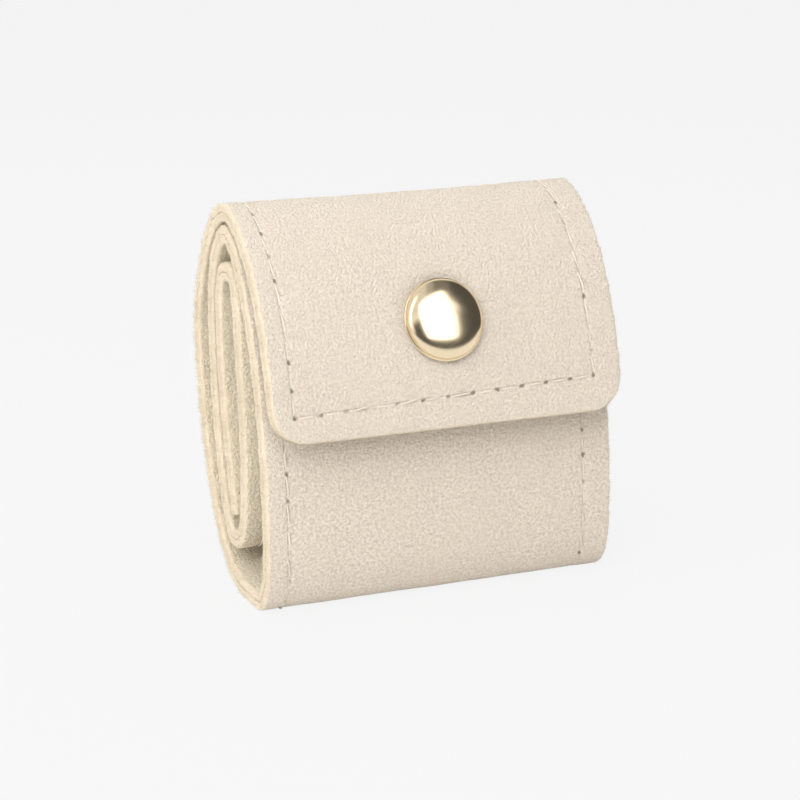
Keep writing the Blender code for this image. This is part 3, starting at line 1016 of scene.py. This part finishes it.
def suede_ply(name, between, depths, looks, settings, free_start, free_end):
    """One ply between two runs and two depths: a slab with rounded edges along the strip."""
    start, end = between
    top, bottom = depths
    halves = half_columns(settings)
    angles = np.linspace(math.pi / 2, 0, ROUND_STEPS + 1)
    inset = EDGE_ROUND * (1 - np.cos(angles))
    run, row_dip = rows(start, end, settings, free_start, free_end)
    width = half_width(run)[:, None]
    narrowed = (width - EDGE_ROUND) / (STRIP_WIDTH / 2 - EDGE_ROUND)
    right = np.concatenate([halves[None, :] * narrowed, width - inset[None, :]], axis=1)
    across = np.concatenate([-right[:, :0:-1], right], axis=1)
    column_dip = np.concatenate([np.zeros(len(halves)), EDGE_ROUND * (1 - np.sin(angles))])
    column_dip = np.concatenate([column_dip[:0:-1], column_dip])
    runs = np.repeat(run[:, None], across.shape[1], axis=1)
    dips = np.maximum(row_dip[:, None], column_dip[None, :])
    face = pulled_in(across, runs, settings)
    outer = top == 0
    across = waved_edge(across, runs, settings, 0.0 if outer else LINING_WAVE_PHASE)
    if outer:
        upper = top + dips + face + (cap_dent(across, runs) if start < SNAP_RUN else 0)
        lower = bottom - INNER_ROUND_SHARE * dips
    else:
        upper = top + INNER_ROUND_SHARE * dips
        lower = bottom - dips - LINING_PULL_SHARE * face

    # Each row is a closed ring: over the top, down the right wall, back below, up the left wall
    m, n = across.shape
    wall = np.array([[0.35, 0.65]])
    thick = lower - upper
    ring_across = np.concatenate(
        [
            across,
            np.repeat(across[:, -1:] + EDGE_BULGE, 2, axis=1),
            across[:, ::-1],
            np.repeat(across[:, :1] - EDGE_BULGE, 2, axis=1),
        ],
        axis=1,
    )
    ring_depth = np.concatenate(
        [
            upper,
            upper[:, -1:] + thick[:, -1:] * wall,
            lower[:, ::-1],
            upper[:, :1] + thick[:, :1] * wall[:, ::-1],
        ],
        axis=1,
    )
    k = ring_across.shape[1]
    ring_runs = np.repeat(run[:, None], k, axis=1)
    points = settled(on_strip(ring_across, ring_runs, ring_depth))
    index = np.arange(m * k).reshape(m, k)
    following = np.roll(index, -1, axis=1)
    sides = np.stack([index[:-1], following[:-1], following[1:], index[1:]], axis=-1)
    caps = []
    for row in (0, m - 1):
        above, below = index[row, :n], index[row, n + 2 : 2 * n + 2][::-1]
        walls = [
            [above[-1], below[-1], index[row, n + 1], index[row, n]],
            [below[0], above[0], index[row, k - 1], index[row, k - 2]],
        ]
        quads = np.stack([above[:-1], below[:-1], below[1:], above[1:]], axis=-1)
        quads = np.concatenate([quads, walls])
        caps.append(quads[:, ::-1] if row else quads)
    faces = np.concatenate([sides.reshape(-1, 4), *caps])
    piece = new_piece(name, points.reshape(-1, 3), faces, looks)

    # The cut edge's material takes the walls, their rounding, and the rows at a free end
    on_cut = np.zeros((m - 1, k), bool)
    on_cut[:, [*range(2), *range(n - 3, n + 5), *range(2 * n - 2, k)]] = True
    on_cut[:2] |= free_start
    on_cut[m - 3 :] |= free_end
    on_caps = np.repeat([free_start, free_end], len(caps[0]))
    marks = np.concatenate([on_cut.ravel(), on_caps]).astype(np.int32)
    mesh = piece.data
    mesh.polygons.foreach_set("material_index", marks)
    corner = np.zeros(len(mesh.loops), np.int32)
    mesh.loops.foreach_get("vertex_index", corner)
    flat = np.stack([ring_across.ravel(), ring_runs.ravel()], axis=-1)[corner] / MM
    mesh.uv_layers.new(name="strip_mm").data.foreach_set("uv", flat.astype(np.float32).ravel())
    faced_out(mesh, math.radians(50))
    return piece


def new_tree(name, sizes):
    """A geometry node tree with these sizes, a seed and a material as inputs, and the inputs."""
    tree = bpy.data.node_groups.new(name, "GeometryNodeTree")
    kinds = {"Geometry": "Geometry", **dict.fromkeys(sizes, "Float")}
    for label, kind in {**kinds, "Seed": "Int", "Material": "Material"}.items():
        tree.interface.new_socket(label, in_out="INPUT", socket_type=f"NodeSocket{kind}")
    tree.interface.new_socket("Geometry", in_out="OUTPUT", socket_type="NodeSocketGeometry")
    return tree, add(tree, "NodeGroupInput").outputs


def scattered(tree, given, points, rotation, leans, shape, scale):
    """Ends the tree: a smooth copy of the shape at each point, leant at random, made real."""
    lean = add(
        tree,
        "FunctionNodeRandomValue",
        {"Min": leans[0], "Max": leans[1], "Seed": given["Seed"]},
        data_type="FLOAT_VECTOR",
    )
    leant = add(
        tree,
        "FunctionNodeRotateRotation",
        {"Rotation": rotation, "Rotate By": add(tree, "FunctionNodeEulerToRotation", {0: lean})},
        rotation_space="LOCAL",
    )
    smooth = add(tree, "GeometryNodeSetShadeSmooth", {"Geometry": shape})
    placed = add(
        tree,
        "GeometryNodeInstanceOnPoints",
        {"Points": points, "Instance": smooth, "Rotation": leant, "Scale": scale},
    )
    real = add(tree, "GeometryNodeRealizeInstances", {"Geometry": placed})
    dyed = add(
        tree, "GeometryNodeSetMaterial", {"Geometry": real, "Material": given["Material"]}
    )
    add(tree, "NodeGroupOutput", {"Geometry": dyed})


def fibre_tree():
    """Geometry nodes that grow short loose fibres out of the cut edge."""
    tree, given = new_tree("loose fibres", ("Density", "Fibre Length", "Fibre Radius"))
    length = given["Fibre Length"]
    roots = add(
        tree,
        "GeometryNodeDistributePointsOnFaces",
        {
            "Mesh": given["Geometry"],
            "Selection": add(
                tree, "GeometryNodeMaterialSelection", {"Material": given["Material"]}
            ),
            "Density": given["Density"],
            "Seed": given["Seed"],
        },
        distribute_method="RANDOM",
    )
    middle, bent = (
        add(tree, "ShaderNodeMath", {0: length, 1: share}, operation="MULTIPLY")
        for share in (0.6, 0.5)
    )
    path = add(
        tree,
        "GeometryNodeCurveQuadraticBezier",
        {
            "Resolution": 2,
            "Start": (0.0, 0.0, 0.0),
            "Middle": add(tree, "ShaderNodeCombineXYZ", {"Z": middle}),
            "End": add(tree, "ShaderNodeCombineXYZ", {"X": bent, "Z": length}),
        },
    )
    share = add(tree, "GeometryNodeSplineParameter").outputs["Factor"]
    taper = add(
        tree,
        "ShaderNodeMapRange",
        {"Value": share, "From Min": 0.0, "From Max": 1.0, "To Min": 1.0, "To Max": 0.25},
    )
    tapered = add(tree, "GeometryNodeSetCurveRadius", {"Curve": path, "Radius": taper})
    section = add(
        tree,
        "GeometryNodeCurvePrimitiveCircle",
        {"Resolution": 3, "Radius": given["Fibre Radius"]},
    )
    fibre = add(tree, "GeometryNodeCurveToMesh", {"Curve": tapered, "Profile Curve": section})
    growth = add(
        tree,
        "FunctionNodeRandomValue",
        {"Min": 0.4, "Max": 1.2, "Seed": given["Seed"]},
        data_type="FLOAT",
    )
    leans = (-0.9, -0.9, -3.14), (0.9, 0.9, 3.14)
    scattered(tree, given, roots, roots.outputs["Rotation"], leans, fibre, growth)
    return tree


def stitch_tree():
    """Geometry nodes that lay one twisted, arched thread at each point."""
    tree, given = new_tree("twisted stitches", ("Stitch Length", "Thread Radius", "Rise", "Sink"))
    front, back, under, waist = (
        add(tree, "ShaderNodeMath", {0: given[name], 1: share}, operation="MULTIPLY")
        for name, share in (
            ("Stitch Length", 0.5),
            ("Stitch Length", -0.5),
            ("Sink", -1.0),
            ("Thread Radius", 0.74),
        )
    )
    rise = given["Rise"]
    start, start_handle, end_handle, end = (
        add(tree, "ShaderNodeCombineXYZ", {"X": along, "Z": height})
        for along, height in ((back, under), (back, rise), (front, rise), (front, under))
    )
    path = add(
        tree,
        "GeometryNodeCurvePrimitiveBezierSegment",
        {
            "Resolution": 12,
            "Start": start,
            "Start Handle": start_handle,
            "End Handle": end_handle,
            "End": end,
        },
        mode="POSITION",
    )
    share = add(tree, "GeometryNodeSplineParameter").outputs["Factor"]
    twist = add(tree, "ShaderNodeMath", {0: share, 1: 13.0}, operation="MULTIPLY")
    twisted = add(tree, "GeometryNodeSetCurveTilt", {"Curve": path, "Tilt": twist})
    yarns = add(
        tree,
        "GeometryNodeCurveStar",
        {"Points": 3, "Inner Radius": waist, "Outer Radius": given["Thread Radius"]},
    )
    thread = add(
        tree,
        "GeometryNodeCurveToMesh",
        {"Curve": twisted, "Profile Curve": yarns, "Fill Caps": True},
    )
    outward, ahead = (
        add(tree, "GeometryNodeInputNamedAttribute", {"Name": name}, data_type="FLOAT_VECTOR")
        for name in ("outward", "ahead")
    )
    upright = add(
        tree,
        "FunctionNodeAxesToRotation",
        {"Primary Axis": outward, "Secondary Axis": ahead},
        primary_axis="Z",
        secondary_axis="X",
    )
    pull, stray = (
        add(
            tree,
            "FunctionNodeRandomValue",
            {"Min": low, "Max": high, "Seed": given["Seed"]},
            data_type="FLOAT_VECTOR",
        )
        for low, high in (
            ((0.62, 0.80, 0.35), (0.90, 1.05, 1.0)),
            ((-0.00010,) * 3, (0.00010,) * 3),
        )
    )
    strayed = add(
        tree, "GeometryNodeSetPosition", {"Geometry": given["Geometry"], "Offset": stray}
    )
    leans = (-0.05, -0.09, 0.03), (0.05, 0.09, 0.20)
    scattered(tree, given, strayed, upright, leans, thread, pull)
    return tree


class EARRING_POUCH_OT_strip(bpy.types.Operator):
    """Makes the outer and the lining ply of the wound strip, bent over the ridge at the flap"""

    bl_idname = "earring_pouch.strip"
    bl_label = "Suede strip"

    def execute(self, context):
        settings = context.scene.earring_pouch_strip
        cut = cut_suede(settings)
        tree = fibre_tree()
        middle = STRIP / 2
        over, wound = (0, SPLIT_RUN), (SPLIT_RUN, LENGTH)
        # Painted light: the outer face from the second ridge inwards, and the whole lining, are
        # painted lighter and warmer by the tint.
        outer_nap = suede_nap(settings, "brushed cream suede", RIDGE_RUNS[1] / MM, hole_share=1.0)
        painted_lighter = suede_nap(settings, "brushed lining suede", painted_light_from_mm=-100, hole_share=0.15)
        made = []
        for side, slot, depths, nap in (
            ("outer", "suede_face", (0, middle - SEAM_LINE), outer_nap),
            ("lining", "suede_lining", (middle + SEAM_LINE, STRIP), painted_lighter),
        ):
            looks = [nap, cut]
            flap = suede_ply(
                f"{side}_suede_over_ridge", over, depths, looks, settings, True, False
            )
            roll = suede_ply(f"{side}_suede_wound", wound, depths, looks, settings, False, True)
            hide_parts(f"{side}_suede_flap")
            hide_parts(f"{side}_suede_roll")
            for ply, rests_on in ((flap, roll.name), (roll, "stage_floor")):
                follows(ply, ply is flap)
            made += [flap, roll]
            for seed, ply in enumerate((flap, roll)):
                fibres = self.loose_fibres(ply, tree, cut, settings, seed)
                follows(fibres, ply is flap)
                made.append(fibres)
        return finished(*made)

    def loose_fibres(self, ply, tree, cut, settings, seed):
        """The fibres that stand out of this ply's cut edge, as an object of their own."""
        base = bpy.data.objects.new(f"{ply.name}_base", ply.data.copy())
        bpy.context.scene.collection.objects.link(base)
        values = {
            "Density": settings.fibre_density / MM**2,
            "Fibre Length": settings.fibre_length,
            "Fibre Radius": settings.fibre_length * 0.06,
            "Seed": seed,
            "Material": cut,
        }
        return grown(base, tree, values, f"{ply.name}_fibres")


class EARRING_POUCH_OT_seams(bpy.types.Operator):
    """Sews the plies together along the strip's edges, with stitches on both faces"""

    bl_idname = "earring_pouch.seams"
    bl_label = "Seams"

    def execute(self, context):
        settings = context.scene.earring_pouch_strip
        tree = stitch_tree()
        places = self.stitch_places(settings)
        over_ridge = places[:, 1] < SPLIT_RUN
        radius = settings.thread_diameter / 2
        values = {
            "Stitch Length": settings.stitch_length * 0.95,
            "Thread Radius": radius,
            "Sink": radius * 2.15,
            "Seed": 11,
            "Material": sewing_thread(settings),
        }
        made = []
        for side, slot, rise in (
            ("needle", "suede_face", 0.58),
            ("bobbin", "suede_lining", 0.50),
        ):
            values["Rise"] = radius * rise
            for where, chosen in (("flap", over_ridge), ("roll", ~over_ridge)):
                points = self.stitch_points(
                    f"{side}_points_{where}", places[chosen], settings, side == "needle"
                )
                piece = grown(points, tree, values, f"{side}_thread_{where}")
                follows(piece, where == "flap")
                made.append(piece)
        return finished(*made)

    def stitch_places(self, settings):
        """Middle of each stitch, as (across, run), and its direction in the same two."""
        seam = STRIP_WIDTH / 2 - settings.seam_inset
        stitch = settings.stitch_length
        first = settings.end_inset
        count = int((LENGTH - 2.4 * first) / stitch)
        last = first + count * stitch
        runs = first + (np.arange(count) + 0.5) * stitch
        places = [(side * seam, run, 0, 1) for side in (-1, 1) for run in runs]
        end_count = round(2 * seam / stitch)
        step = 2 * seam / end_count
        for run in (first, last):
            places += [(-seam + (i + 0.5) * step, run, 1, 0) for i in range(end_count)]
        return np.array(places)

    def stitch_points(self, name, places, settings, outside):
        """A mesh of one point for each stitch, with its outward normal and its direction."""
        across, run, sideways, onward = places.T
        run = run + settings.seam_skew * across
        across = across - settings.seam_shift
        depth = np.full(len(run), settings.seam_depth)
        if not outside:
            depth = STRIP - depth
        points = settled(on_strip(across, run, depth))
        _, along = along_strip(run)
        out = -inward(along) if outside else inward(along)
        normal = np.stack([np.zeros(len(run)), out[:, 0], out[:, 1]], axis=-1)
        ahead = np.stack([sideways, along[:, 0] * onward, along[:, 1] * onward], axis=-1)
        piece = new_piece(name, points, [], [], smooth=False)
        for label, values in (("outward", normal), ("ahead", ahead)):
            attribute = piece.data.attributes.new(label, "FLOAT_VECTOR", "POINT")
            attribute.data.foreach_set("vector", values.astype(np.float32).ravel())
        return piece


def snap_frame():
    """From the snap's own axes, height along its axis out of the flap's face, to the world."""
    place, along = along_strip(np.array(SNAP_RUN))
    out = -inward(along)
    z_axis = Vector((0, out[0], out[1]))
    x_axis = Vector((1, 0, 0))
    y_axis = z_axis.cross(x_axis)
    turned = Matrix((x_axis, y_axis, z_axis)).transposed().to_4x4()
    return Matrix.Translation((0, place[0], place[1])) @ turned


def snap_piece(name, vertices, faces, look, crease=None):
    """A closed piece of the snap, from its own axes put where the snap is."""
    piece = new_piece(name, vertices, faces, [look])
    faced_out(piece.data, crease)
    piece.data.transform(snap_frame())
    piece.data.update()
    return piece


def turned_piece(name, profile, closed, look):
    """A piece turned from a profile of (radius, height), with its poles closed."""
    angles = np.arange(SNAP_STEPS) * 2 * math.pi / SNAP_STEPS
    rings, vertices = [], []
    for radius, height in profile:
        if radius < 1e-7:
            rings.append([len(vertices)] * SNAP_STEPS)
            vertices.append((0, 0, height))
            continue
        rings.append(list(range(len(vertices), len(vertices) + SNAP_STEPS)))
        vertices += [(radius * math.cos(a), radius * math.sin(a), height) for a in angles]
    pairs = list(zip(rings[:-1], rings[1:])) + ([(rings[-1], rings[0])] if closed else [])
    faces = []
    for upper, lower in pairs:
        for i in range(SNAP_STEPS):
            j = (i + 1) % SNAP_STEPS
            face = list(dict.fromkeys([upper[i], lower[i], lower[j], upper[j]]))
            if len(face) > 2:
                faces.append(face)
    return snap_piece(name, vertices, faces, look, math.radians(38))


def wire_ring(name, radius, height, look):
    """An open ring of spring wire, with rounded wire ends."""
    angles = np.linspace(SPRING_OPENING / 2, 2 * math.pi - SPRING_OPENING / 2, 73)
    tip = np.linspace(0, math.pi / 2, 4)[:-1]
    tip_wire = SPRING_WIRE / 2 * np.cos(tip)
    tip_reach = SPRING_WIRE / 2 * np.sin(tip) / radius
    stations = [(angles[0] - s, r) for s, r in zip(tip_reach[::-1], tip_wire[::-1])]
    stations += [(a, SPRING_WIRE / 2) for a in angles[1:-1]]
    stations += [(angles[-1] + s, r) for s, r in zip(tip_reach, tip_wire)]
    count = 12
    vertices = []
    for angle, wire in stations:
        for around in np.arange(count) * 2 * math.pi / count:
            out = radius + wire * math.cos(around)
            up = height + wire * math.sin(around)
            vertices.append((out * math.cos(angle), out * math.sin(angle), up))
    faces = []
    for i in range(0, len(vertices) - count, count):
        for j in range(count):
            k = (j + 1) % count
            faces.append((i + j, i + k, i + count + k, i + count + j))
    faces.append(tuple(range(count))[::-1])
    faces.append(tuple(range(len(vertices) - count, len(vertices))))
    return snap_piece(name, vertices, faces, look)


def rounded(points, radius, steps=4):
    """The profile with its inner corners rounded off by up to this radius."""
    points = [np.array(p, float) for p in points]
    made = [points[0]]
    for before, corner, after in zip(points[:-2], points[1:-1], points[2:]):
        to_before, to_after = before - corner, after - corner
        reach = min(radius, 0.45 * np.linalg.norm(to_before), 0.45 * np.linalg.norm(to_after))
        a = corner + to_before / np.linalg.norm(to_before) * reach
        b = corner + to_after / np.linalg.norm(to_after) * reach
        for t in np.linspace(0, 1, steps + 1):
            made.append((1 - t) ** 2 * a + 2 * (1 - t) * t * corner + t**2 * b)
    made.append(points[-1])
    return made


class EARRING_POUCH_OT_snap(bpy.types.Operator):
    """Makes the domed cap, the socket with its ring spring, the stud and its back post"""

    bl_idname = "earring_pouch.snap"
    bl_label = "Snap"

    def execute(self, context):
        settings = context.scene.earring_pouch_snap
        gilt = polished_gilt(settings)
        panel = -SNAP_RISE
        socket_back = -(STRIP - BITE + SEAT_GAP)
        socket_floor = socket_back - SHEET
        stud_back = panel - BITE + SEAT_GAP
        stud_top = stud_back + SHEET
        socket_mouth = stud_top + SNAP_GAP
        head_top = socket_floor - SNAP_GAP
        bore = RIVET_RADIUS + RIVET_HOLE_PLAY
        post_bore = BACK_POST_RADIUS + RIVET_HOLE_PLAY

        rim = -CAP_RIM_DEPTH
        lip_radius = CAP_RADIUS - CAP_LIP
        top = (0, settings.cap_height)
        dome = arc(top, BACK, (lip_radius, rim + 2.1 * CAP_LIP), DOWN, (0.62, 0.62), 26)
        bead = [
            (lip_radius + CAP_LIP * math.sin(a), rim + CAP_LIP + CAP_LIP * math.cos(a))
            for a in np.linspace(math.radians(20), math.radians(180), 9)
        ]
        hollow_start = (CAP_RADIUS - 3 * CAP_LIP, rim)
        hollow_end = (RIVET_RADIUS, settings.cap_height - SHEET)
        hollow = arc(hollow_start, UP, hollow_end, FORWARD, (0.7, 0.6), 12)
        rivet = [(RIVET_RADIUS, socket_floor), (0, socket_floor)]
        cap = turned_piece("domed_cap", [*dome, *bead, *hollow, *rivet], False, gilt)

        mouth = STUD_HEAD_RADIUS + MOUTH_PLAY
        wire_circle = STUD_HEAD_RADIUS + SPRING_PLAY + SPRING_WIRE / 2
        groove = wire_circle + SPRING_WIRE / 2 + GROOVE_PLAY
        groove_low = socket_mouth + SOCKET_LIP
        groove_high = groove_low + SPRING_WIRE + 2 * GROOVE_PLAY
        barrel = groove + SOCKET_WALL
        outside = rounded(
            [
                (bore, socket_back),
                (SOCKET_RADIUS, socket_back),
                (SOCKET_RADIUS, socket_floor),
                (barrel, socket_floor),
                (barrel, socket_mouth),
                (mouth, socket_mouth),
                (mouth, groove_low),
            ],
            SOCKET_LIP,
        )
        inside = [
            (groove, groove_low),
            (groove, groove_high),
            (mouth, groove_high),
            (mouth, socket_floor),
            (bore, socket_floor),
        ]
        socket = turned_piece("ring_socket", [*outside, *inside], True, gilt)
        wire_height = (groove_low + groove_high) / 2
        spring = wire_ring("ring_spring", wire_circle, wire_height, spring_steel())

        head_low = (stud_top + head_top) / 2
        head_side = (STUD_HEAD_RADIUS, head_low + SHEET)
        head_rim = (post_bore + SHEET, head_top)
        head = arc(head_side, UP, head_rim, FORWARD, (0.6, 0.6), 10)
        neck = rounded(
            [
                (STUD_HEAD_RADIUS, head_low),
                (STUD_NECK_RADIUS, stud_top + SHEET),
                (STUD_NECK_RADIUS + SHEET / 2, stud_top),
                (STUD_FLANGE_RADIUS, stud_top),
                (STUD_FLANGE_RADIUS, stud_back),
                (post_bore, stud_back),
            ],
            SHEET / 2,
        )
        stud_profile = [(post_bore, head_top - SHEET), *head[::-1], *neck]
        stud = turned_piece("snap_head_stud", stud_profile, True, gilt)

        post_seat = panel - STRIP + BITE - SEAT_GAP
        crown = [
            (0, head_top - SHEET),
            (BACK_POST_RADIUS - SHEET / 4, head_top - SHEET),
            (BACK_POST_RADIUS, head_top - 1.25 * SHEET),
        ]
        flange = rounded(
            [
                (BACK_POST_RADIUS, post_seat),
                (BACK_POST_FLANGE_RADIUS, post_seat),
                (BACK_POST_FLANGE_RADIUS, post_seat - SHEET),
                (0, post_seat - SHEET),
            ],
            SHEET / 2,
        )
        post = turned_piece("stud_back_post", [*crown, *flange], False, gilt)

        for piece, node, body, slot in (
            (cap, "snap_cap", "flap", "gilt"),
            (socket, "snap_socket", "flap", "gilt"),
            (spring, "snap_ring_spring", "flap", "spring"),
            (stud, "snap_stud", "roll", "gilt"),
            (post, "snap_back_post", "roll", "gilt"),
        ):
            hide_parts(node)
            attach(piece, body)
        return finished(cap, socket, spring, stud, post)


def aimed(azimuth, height, roll=0, distance=0.5):
    """A place this far from the cap, to the right of the front and up, turned to face the cap."""
    azimuth, height = math.radians(azimuth), math.radians(height)
    reach = math.cos(height)
    way = Vector((math.sin(azimuth) * reach, -math.cos(azimuth) * reach, math.sin(height)))
    rolled = Matrix.Rotation(math.radians(roll), 4, "Z").to_quaternion()
    turned = (way.to_track_quat("Z", "Y") @ rolled).to_matrix().to_4x4()
    return Matrix.Translation(Vector((0, -0.013, 0.044)) + way * distance) @ turned


def level(left, right, near, far, height):
    """The corners of a level sheet."""
    return [(x, y, height) for x, y in ((left, near), (right, near), (right, far), (left, far))]


def studio_card(name, corners, look):
    """A flat glowing card of the studio, seen only in polished metal."""
    made = new_piece(name, corners, [(0, 1, 2, 3)], [look], smooth=False)
    made.visible_camera = False
    made.visible_diffuse = False
    made.visible_shadow = False
    made.visible_transmission = False


def shows_backdrop(tree, *kinds):
    """1 for a ray of one of these kinds, which sees the backdrop and not what lights the pouch."""
    rays = add(tree, "ShaderNodeLightPath").outputs
    seen = rays[kinds[0]]
    for kind in kinds[1:]:
        seen = add(tree, "ShaderNodeMath", {0: seen, 1: rays[kind]}, operation="MAXIMUM")
    return seen


class EARRING_POUCH_OT_stage(bpy.types.Operator):
    """Sets up the pale floor, the softboxes, the even fill and the camera"""

    bl_idname = "earring_pouch.stage"
    bl_label = "Stage"

    def execute(self, context):
        scene = context.scene
        settings = scene.earring_pouch_stage
        scene.view_settings.view_transform = "Standard"
        floor = self.make_floor(settings)
        self.make_world(scene, settings)
        for name, power, size, azimuth, height in (
            ("front_softbox", settings.key_power, (0.38, 0.42), -26, 49),
            ("left_softbox", settings.side_power, (0.60, 0.50), -64, 36),
            ("rear_softbox", settings.rear_power, (0.50, 0.50), 168, 58),
        ):
            self.make_lamp(scene, name, power, size, aimed(azimuth, height))
        self.make_cards()
        self.make_camera(scene, settings)
        return finished(floor)

    def make_floor(self, settings):
        """Paper that lights the pouch a little from below, and is shown as the backdrop."""
        look, tree = new_material("pale paper sweep")
        paper = add(tree, "ShaderNodeBsdfDiffuse", {"Color": (0.90, 0.90, 0.90, 1)})
        bounce = add(tree, "ShaderNodeEmission", {"Color": (1, 1, 1, 1), "Strength": 0.16})
        shadow = add(tree, "ShaderNodeBsdfDiffuse", {"Color": (0.035, 0.035, 0.035, 1)})
        backdrop = (*settings.backdrop_colour, 1)
        glow = add(tree, "ShaderNodeEmission", {"Color": backdrop, "Strength": 0.961})
        lit = add(tree, "ShaderNodeAddShader", {0: paper, 1: bounce})
        shown = add(tree, "ShaderNodeAddShader", {0: shadow, 1: glow})
        seen = shows_backdrop(tree, "Is Camera Ray", "Is Glossy Ray")
        mixed = add(tree, "ShaderNodeMixShader", {0: seen, 1: lit, 2: shown})
        add(tree, "ShaderNodeOutputMaterial", {"Surface": mixed})
        corners = level(-FLOOR_REACH, FLOOR_REACH, -FLOOR_REACH, FLOOR_REACH, 0)
        floor = new_piece("stage_floor", corners, [(0, 1, 2, 3)], [look], smooth=False)
        return floor

    def make_world(self, scene, settings):
        """Even light from all round, shown as the backdrop."""
        world = bpy.data.worlds.new("even studio")
        world.use_nodes = True
        tree = world.node_tree
        tree.nodes.clear()
        strength = settings.fill_strength
        fill = add(tree, "ShaderNodeBackground", {"Color": (1, 1, 1, 1), "Strength": strength})
        backdrop = (*settings.backdrop_colour, 1)
        shown = add(tree, "ShaderNodeBackground", {"Color": backdrop, "Strength": 1.0})
        seen = shows_backdrop(tree, "Is Camera Ray", "Is Glossy Ray", "Is Transmission Ray")
        mixed = add(tree, "ShaderNodeMixShader", {0: seen, 1: fill, 2: shown})
        add(tree, "ShaderNodeOutputWorld", {"Surface": mixed})
        scene.world = world

    def make_lamp(self, scene, name, power, size, place):
        lamp = bpy.data.lights.new(name, "AREA")
        lamp.shape = "RECTANGLE"
        lamp.size, lamp.size_y = size
        lamp.energy = power
        placed = bpy.data.objects.new(name, lamp)
        placed.matrix_world = place
        placed.visible_glossy = False
        scene.collection.objects.link(placed)

    def make_cards(self):
        """What the polished cap mirrors: two lit faces, a ceiling and dark flags about them."""
        looks = {}
        for name, strength in (
            ("lit softbox cloth", 2.3),
            ("grey studio ceiling", 0.74),
            ("shaded studio ceiling", 0.42),
            ("dark studio flag", 0.085),
            ("dark studio ceiling", 0.20),
        ):
            looks[name], tree = new_material(name)
            warm = (1, 0.985, 0.96, 1)
            glow = add(tree, "ShaderNodeEmission", {"Color": warm, "Strength": strength})
            add(tree, "ShaderNodeOutputMaterial", {"Surface": glow})
        for name, (wide, high), place in (
            ("stage_face_front", (0.39, 0.46), aimed(9, 32, 5)),
            ("stage_face_left", (0.17, 0.55), aimed(-74, 36)),
        ):
            corners = level(-wide / 2, wide / 2, -high / 2, high / 2, 0)
            corners = [place @ Vector(corner) for corner in corners]
            studio_card(name, corners, looks["lit softbox cloth"])
        front = [(-0.7, -0.62, -0.01), (1.4, -0.62, -0.01), (1.4, -0.62, 0.62), (-0.7, -0.62, 0.34)]
        side = [(0.55, -0.62, 0.0), (0.55, 0.40, 0.0), (0.55, 0.40, 0.9), (0.55, -0.62, 0.9)]
        for name, look, corners in (
            ("stage_flag_front", "dark studio flag", front),
            ("stage_flag_low", "dark studio flag", level(-0.7, 1.4, -0.62, -0.20, 0.001)),
            ("stage_flag_side", "dark studio flag", side),
            ("stage_flag_high", "dark studio ceiling", level(0.18, 1.2, -0.9, 0.5, 0.9)),
            ("stage_ceiling", "grey studio ceiling", level(-1.2, 0.0, -0.9, 0.5, 0.9)),
            ("stage_ceiling_mid", "shaded studio ceiling", level(0.0, 0.18, -0.9, 0.5, 0.9)),
        ):
            studio_card(name, corners, looks[look])

    def make_camera(self, scene, settings):
        a, e = settings.azimuth, settings.elevation
        ahead = Vector((math.sin(a) * math.cos(e), math.cos(a) * math.cos(e), -math.sin(e)))
        right = Vector((math.cos(a), -math.sin(a), 0))
        up = right.cross(ahead)
        depth = LOOKED_AT_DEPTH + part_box("outer_suede_roll")[1].y - ROLL_DEPTH
        target = Vector((0, depth, LOOKED_AT_HEIGHT))
        distance = FOCUS_PX / PX_PER_METRE
        stand = target - ahead * distance + right * CAMERA_SIDE + up * CAMERA_RISE
        data = bpy.data.cameras.new("camera")
        data.sensor_width = SENSOR_MM
        data.lens = FOCUS_PX / FRAME_PX * data.sensor_width
        data.clip_start, data.clip_end = 0.01, 20.0
        placed = bpy.data.objects.new("camera", data)
        turned = Matrix((right, up, -ahead)).transposed().to_4x4()
        placed.matrix_world = Matrix.Translation(stand) @ turned
        scene.collection.objects.link(placed)
        scene.camera = placed


class EARRING_POUCH_PT_panel(bpy.types.Panel):
    """Shows the pouch's settings in the sidebar, with a button for each step that makes it"""

    bl_label = "Earring Pouch"
    bl_idname = "EARRING_POUCH_PT_panel"
    bl_space_type = "VIEW_3D"
    bl_region_type = "UI"
    bl_category = "Earring Pouch"

    def draw(self, context):
        for group, owner in GROUPS.items():
            box = self.layout.box()
            for name in owner.__annotations__:
                box.prop(getattr(context.scene, group), name)
        for operator in OPERATORS:
            self.layout.operator(operator.bl_idname)


GROUPS = {
    "earring_pouch_strip": StripSettings,
    "earring_pouch_snap": SnapSettings,
    "earring_pouch_stage": StageSettings,
}
OPERATORS = (
    EARRING_POUCH_OT_stage,
    EARRING_POUCH_OT_strip,
    EARRING_POUCH_OT_seams,
    EARRING_POUCH_OT_snap,
)
CLASSES = (*GROUPS.values(), *OPERATORS, EARRING_POUCH_PT_panel)


def register():
    for made in CLASSES:
        bpy.utils.register_class(made)
    for group, owner in GROUPS.items():
        setattr(bpy.types.Scene, group, bpy.props.PointerProperty(type=owner))


def unregister():
    for group in GROUPS:
        delattr(bpy.types.Scene, group)
    for made in reversed(CLASSES):
        bpy.utils.unregister_class(made)


def main():
    register()
    bpy.ops.earring_pouch.stage()
    bpy.ops.earring_pouch.strip()
    bpy.ops.earring_pouch.seams()
    bpy.ops.earring_pouch.snap()


if __name__ == "__main__":
    main()
